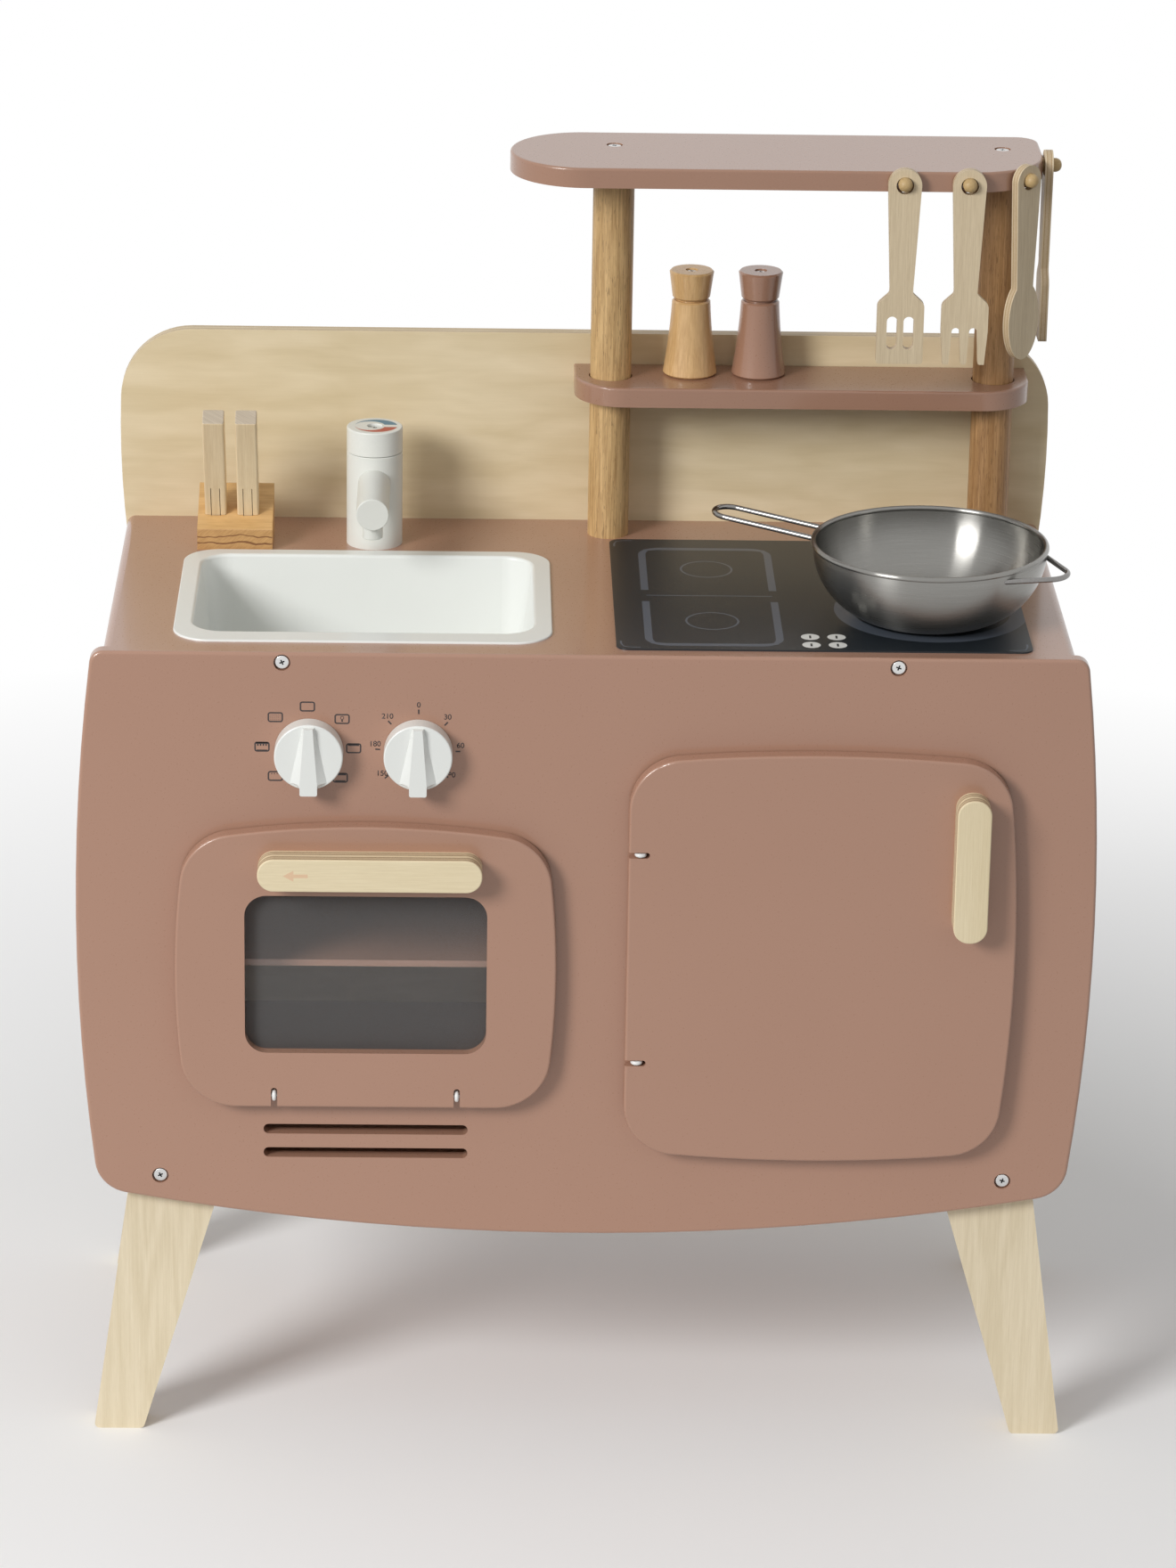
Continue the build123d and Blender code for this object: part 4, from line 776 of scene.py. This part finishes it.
def cross_screw(head_radius, head_height, shank_radius, length, flat=False):
    """Screw with a cross recess, its head's top at the origin and its shank down. A flat head is
    countersunk, the other kind is domed."""
    bpy.ops.object.select_all(action="DESELECT")
    bpy.ops.mesh.primitive_cylinder_add(vertices=head_sides, radius=head_radius, depth=head_height,
                                        location=(0, 0, -head_height / 2))
    screw = start_piece("screw", steel.material)
    choose(screw, lambda face: face.normal.z < -level_limit)
    if flat:
        narrow = shank_radius / head_radius
        bpy.ops.transform.resize(value=(narrow, narrow, 1))
    else:
        bpy.ops.mesh.inset(thickness=head_radius - shank_radius)
    bpy.ops.mesh.extrude_region_move(TRANSFORM_OT_translate={"value": (0, 0, -length)})
    bpy.ops.transform.resize(value=(tip_taper, tip_taper, 1))
    choose(screw, lambda face: face.normal.z > level_limit)
    if flat:
        bpy.ops.mesh.bevel(offset=edge_break, segments=1, affect="EDGES")
    else:
        bpy.ops.mesh.bevel(offset=min(dome_rim, head_height * dome_rim_share), segments=4, affect="EDGES")
    bpy.ops.object.mode_set(mode="OBJECT")
    for turn in (0, pi / 2):
        bpy.ops.object.select_all(action="DESELECT")
        bpy.ops.mesh.primitive_cube_add(size=1, rotation=(0, 0, turn))
        bpy.context.object.scale = (head_radius * recess_reach, recess_width, 2 * recess_depth)
        cutter = start_piece("recess", recess.material)
        choose(cutter, lambda face: face.normal.z < -level_limit)
        bpy.ops.transform.resize(value=(recess_taper, recess_taper, 1))
        bpy.ops.object.mode_set(mode="OBJECT")
        bpy.ops.object.select_all(action="DESELECT")
        bpy.context.view_layer.objects.active = screw
        screw.select_set(True)
        cut = screw.modifiers.new("recess", "BOOLEAN")
        cut.operation = "DIFFERENCE"
        cut.solver = "EXACT"
        cut.material_mode = "TRANSFER"
        cut.object = cutter
        bpy.ops.object.modifier_apply(modifier=cut.name)
        bpy.data.objects.remove(cutter)
    bpy.ops.object.shade_smooth_by_angle(angle=smooth_angle)
    return screw


def drive(name, screw, seats, body, *stands_for):
    """Copies a screw to seats, each a point in millimetres and an outward direction, as one piece."""
    copies = []
    for number, (point, outward) in enumerate(seats):
        copy = bpy.data.objects.new(name, screw.data.copy())
        turn = Matrix.Rotation(radians(first_turn + next_turn * number), 4, "Z")
        stand = Vector(outward).to_track_quat("Z", "Y").to_matrix().to_4x4()
        copy.data.transform(Matrix.Translation(Vector(point) / 1000) @ stand @ turn)
        bpy.context.scene.collection.objects.link(copy)
        copies.append(copy)
    piece = joined(copies, name)
    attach(piece, body)
    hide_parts(*stands_for)


def in_millimetres(low, high):
    """Middle of a box and the height of its top, in millimetres."""
    return (low.x + high.x) * 500, (low.y + high.y) * 500, high.z * 1000


# In millimetres: screws in the front plate, each row by its reach from the middle and its height, and
# in the top shelf above the posts
face_rows = ((178.5, 498), (252, 173))
face_head_sunk = 0.8
face_head_y = plate_front * 1000 + face_head_sunk
post_xs = (14.5, 248.2)
post_y = 111.25
shelf_head_z = 748.6
face_seats = [((side * reach, face_head_y, height), (0, -1, 0))
              for reach, height in face_rows for side in (-1, 1)]
shelf_seats = [((x, post_y, shelf_head_z), (0, 0, 1)) for x in post_xs]
domed_screw = cross_screw(head_radius=0.0042, head_height=0.0024, shank_radius=0.002, length=0.025)
drive("cross_screws", domed_screw, face_seats + shelf_seats, "cabinet", "counterbore_screws")
tap_seat = in_millimetres(*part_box("tap_screw"))
drive("tap_cross_screw", domed_screw, [(tap_seat, (0, 0, 1))], "cabinet", "tap_screw")
bpy.data.objects.remove(domed_screw)

# The shakers' screws have heads so tall that they end just below the tops of the caps
shaker_head_sunk = 0.0008
for shaker in ("natural", "painted"):
    low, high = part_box("shaker_" + shaker + "_screw")
    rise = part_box("shaker_" + shaker + "_cap")[1].z - shaker_head_sunk - high.z
    shaker_screw = cross_screw(head_radius=0.0033, head_height=0.0018 + rise, shank_radius=0.002,
                               length=0.02 - rise)
    x, y, z = in_millimetres(low, high)
    drive("shaker_" + shaker + "_cross_screw", shaker_screw, [((x, y, z + rise * 1000), (0, 0, 1))],
          "shaker_" + shaker, "shaker_" + shaker + "_screw")
    bpy.data.objects.remove(shaker_screw)

# In millimetres: screws through the back panel into the sides, the floor, the counter and the middle
# shelf, down through the floor into the legs, and up through the counter into what stands on it
back_y = 145.75
side_reach = 276.5
side_heights = (226.5, 335.5, 444.5)
level_reach = 138.25
level_heights = (173, 498)
shelf_middle_x = 131.25
shelf_reach = 69
shelf_height = 599
leg_middle_x = 242.76
leg_reach = 15
leg_ys = (-101.25, 126.75)
leg_top = 179
tap_point = (-128.8, 89.25)
block_point = (-213.4, 78.75)
counter_low = 492
back_seats = [((side * side_reach, back_y, z), (0, 1, 0)) for side in (-1, 1) for z in side_heights]
back_seats += [((side * level_reach, back_y, z), (0, 1, 0)) for side in (-1, 1) for z in level_heights]
back_seats += [((shelf_middle_x + side * shelf_reach, back_y, shelf_height), (0, 1, 0)) for side in (-1, 1)]
leg_seats = [((side * (leg_middle_x + shift), y, leg_top), (0, 0, 1))
             for side in (-1, 1) for shift in (-leg_reach, leg_reach) for y in leg_ys]
under_seats = [((x, y, counter_low), (0, 0, -1))
               for x, y in [(x, post_y) for x in post_xs] + [tap_point, block_point]]
flat_screw = cross_screw(head_radius=0.0038, head_height=0.002, shank_radius=0.0019, length=0.02, flat=True)
drive("panel_cross_screws", flat_screw, back_seats + leg_seats + under_seats, "cabinet", "panel_screws")
bpy.data.objects.remove(flat_screw)


# Hinge wires
# Wire eyes driven into the front plate, and the short pins through them that lie in the doors'
# backs. Both are plated white.
dress(even_finish("white_plated_wire", colour(238, 238, 236), colour(224, 224, 222), grain=0.001,
                  roughness=(0.28, 0.1), dents=0.00001),
      "hinge_eyes", "oven_hinge_pins", "cupboard_hinge_pins")


# Pan
# A bowl spun from thin steel and brushed round its axis, so its highlights run from rim to floor.
# A long and a short loop of polished wire are welded to it.
brush_width = 0.0003
brush_arcs = 2
bowl_roughness = 0.26
stroke_roughness = 0.04

pan_low, pan_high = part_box("pan_bowl")
pan_middle = (pan_low + pan_high) / 2
pan_steel = Finish(bpy.data.materials.new("brushed_pan_steel"),
                   {"Metallic": 1, "Anisotropic": 0.95, "Anisotropic Rotation": 0.25})
pan_x = pan_steel.along((1, 0, 0)) - pan_middle.x
pan_y = pan_steel.along((0, 1, 0)) - pan_middle.y
pan_out = distance(pan_x, pan_y)
pan_turn = pan_steel.math("ARCTAN2", pan_y, pan_x)
pan_height = pan_steel.along((0, 0, 1))
brush_place = pan_steel.node("CombineXYZ", {}, {0: pan_out / brush_width, 1: pan_turn * brush_arcs,
                                                2: pan_height / brush_width})
brush_clouds = pan_steel.node("TexNoise", {}, {"Vector": brush_place.outputs[0], "Scale": 1, "Detail": 2})
strokes = Field(pan_steel, brush_clouds.outputs["Fac"])
pan_colour = pan_steel.mix(strokes, colour(152, 151, 147), colour(134, 132, 128))
pan_steel.set(pan_steel.shader, {"Base Color": pan_colour,
                                 "Roughness": bowl_roughness + stroke_roughness * strokes})
dress(pan_steel, "pan_bowl")
dress(even_finish("polished_wire", colour(150, 148, 146), colour(128, 126, 124), grain=0.001,
                  roughness=(0.1, 0.08), dents=0.00001, constants={"Metallic": 1}),
      "pan_handle", "pan_helper_handle")
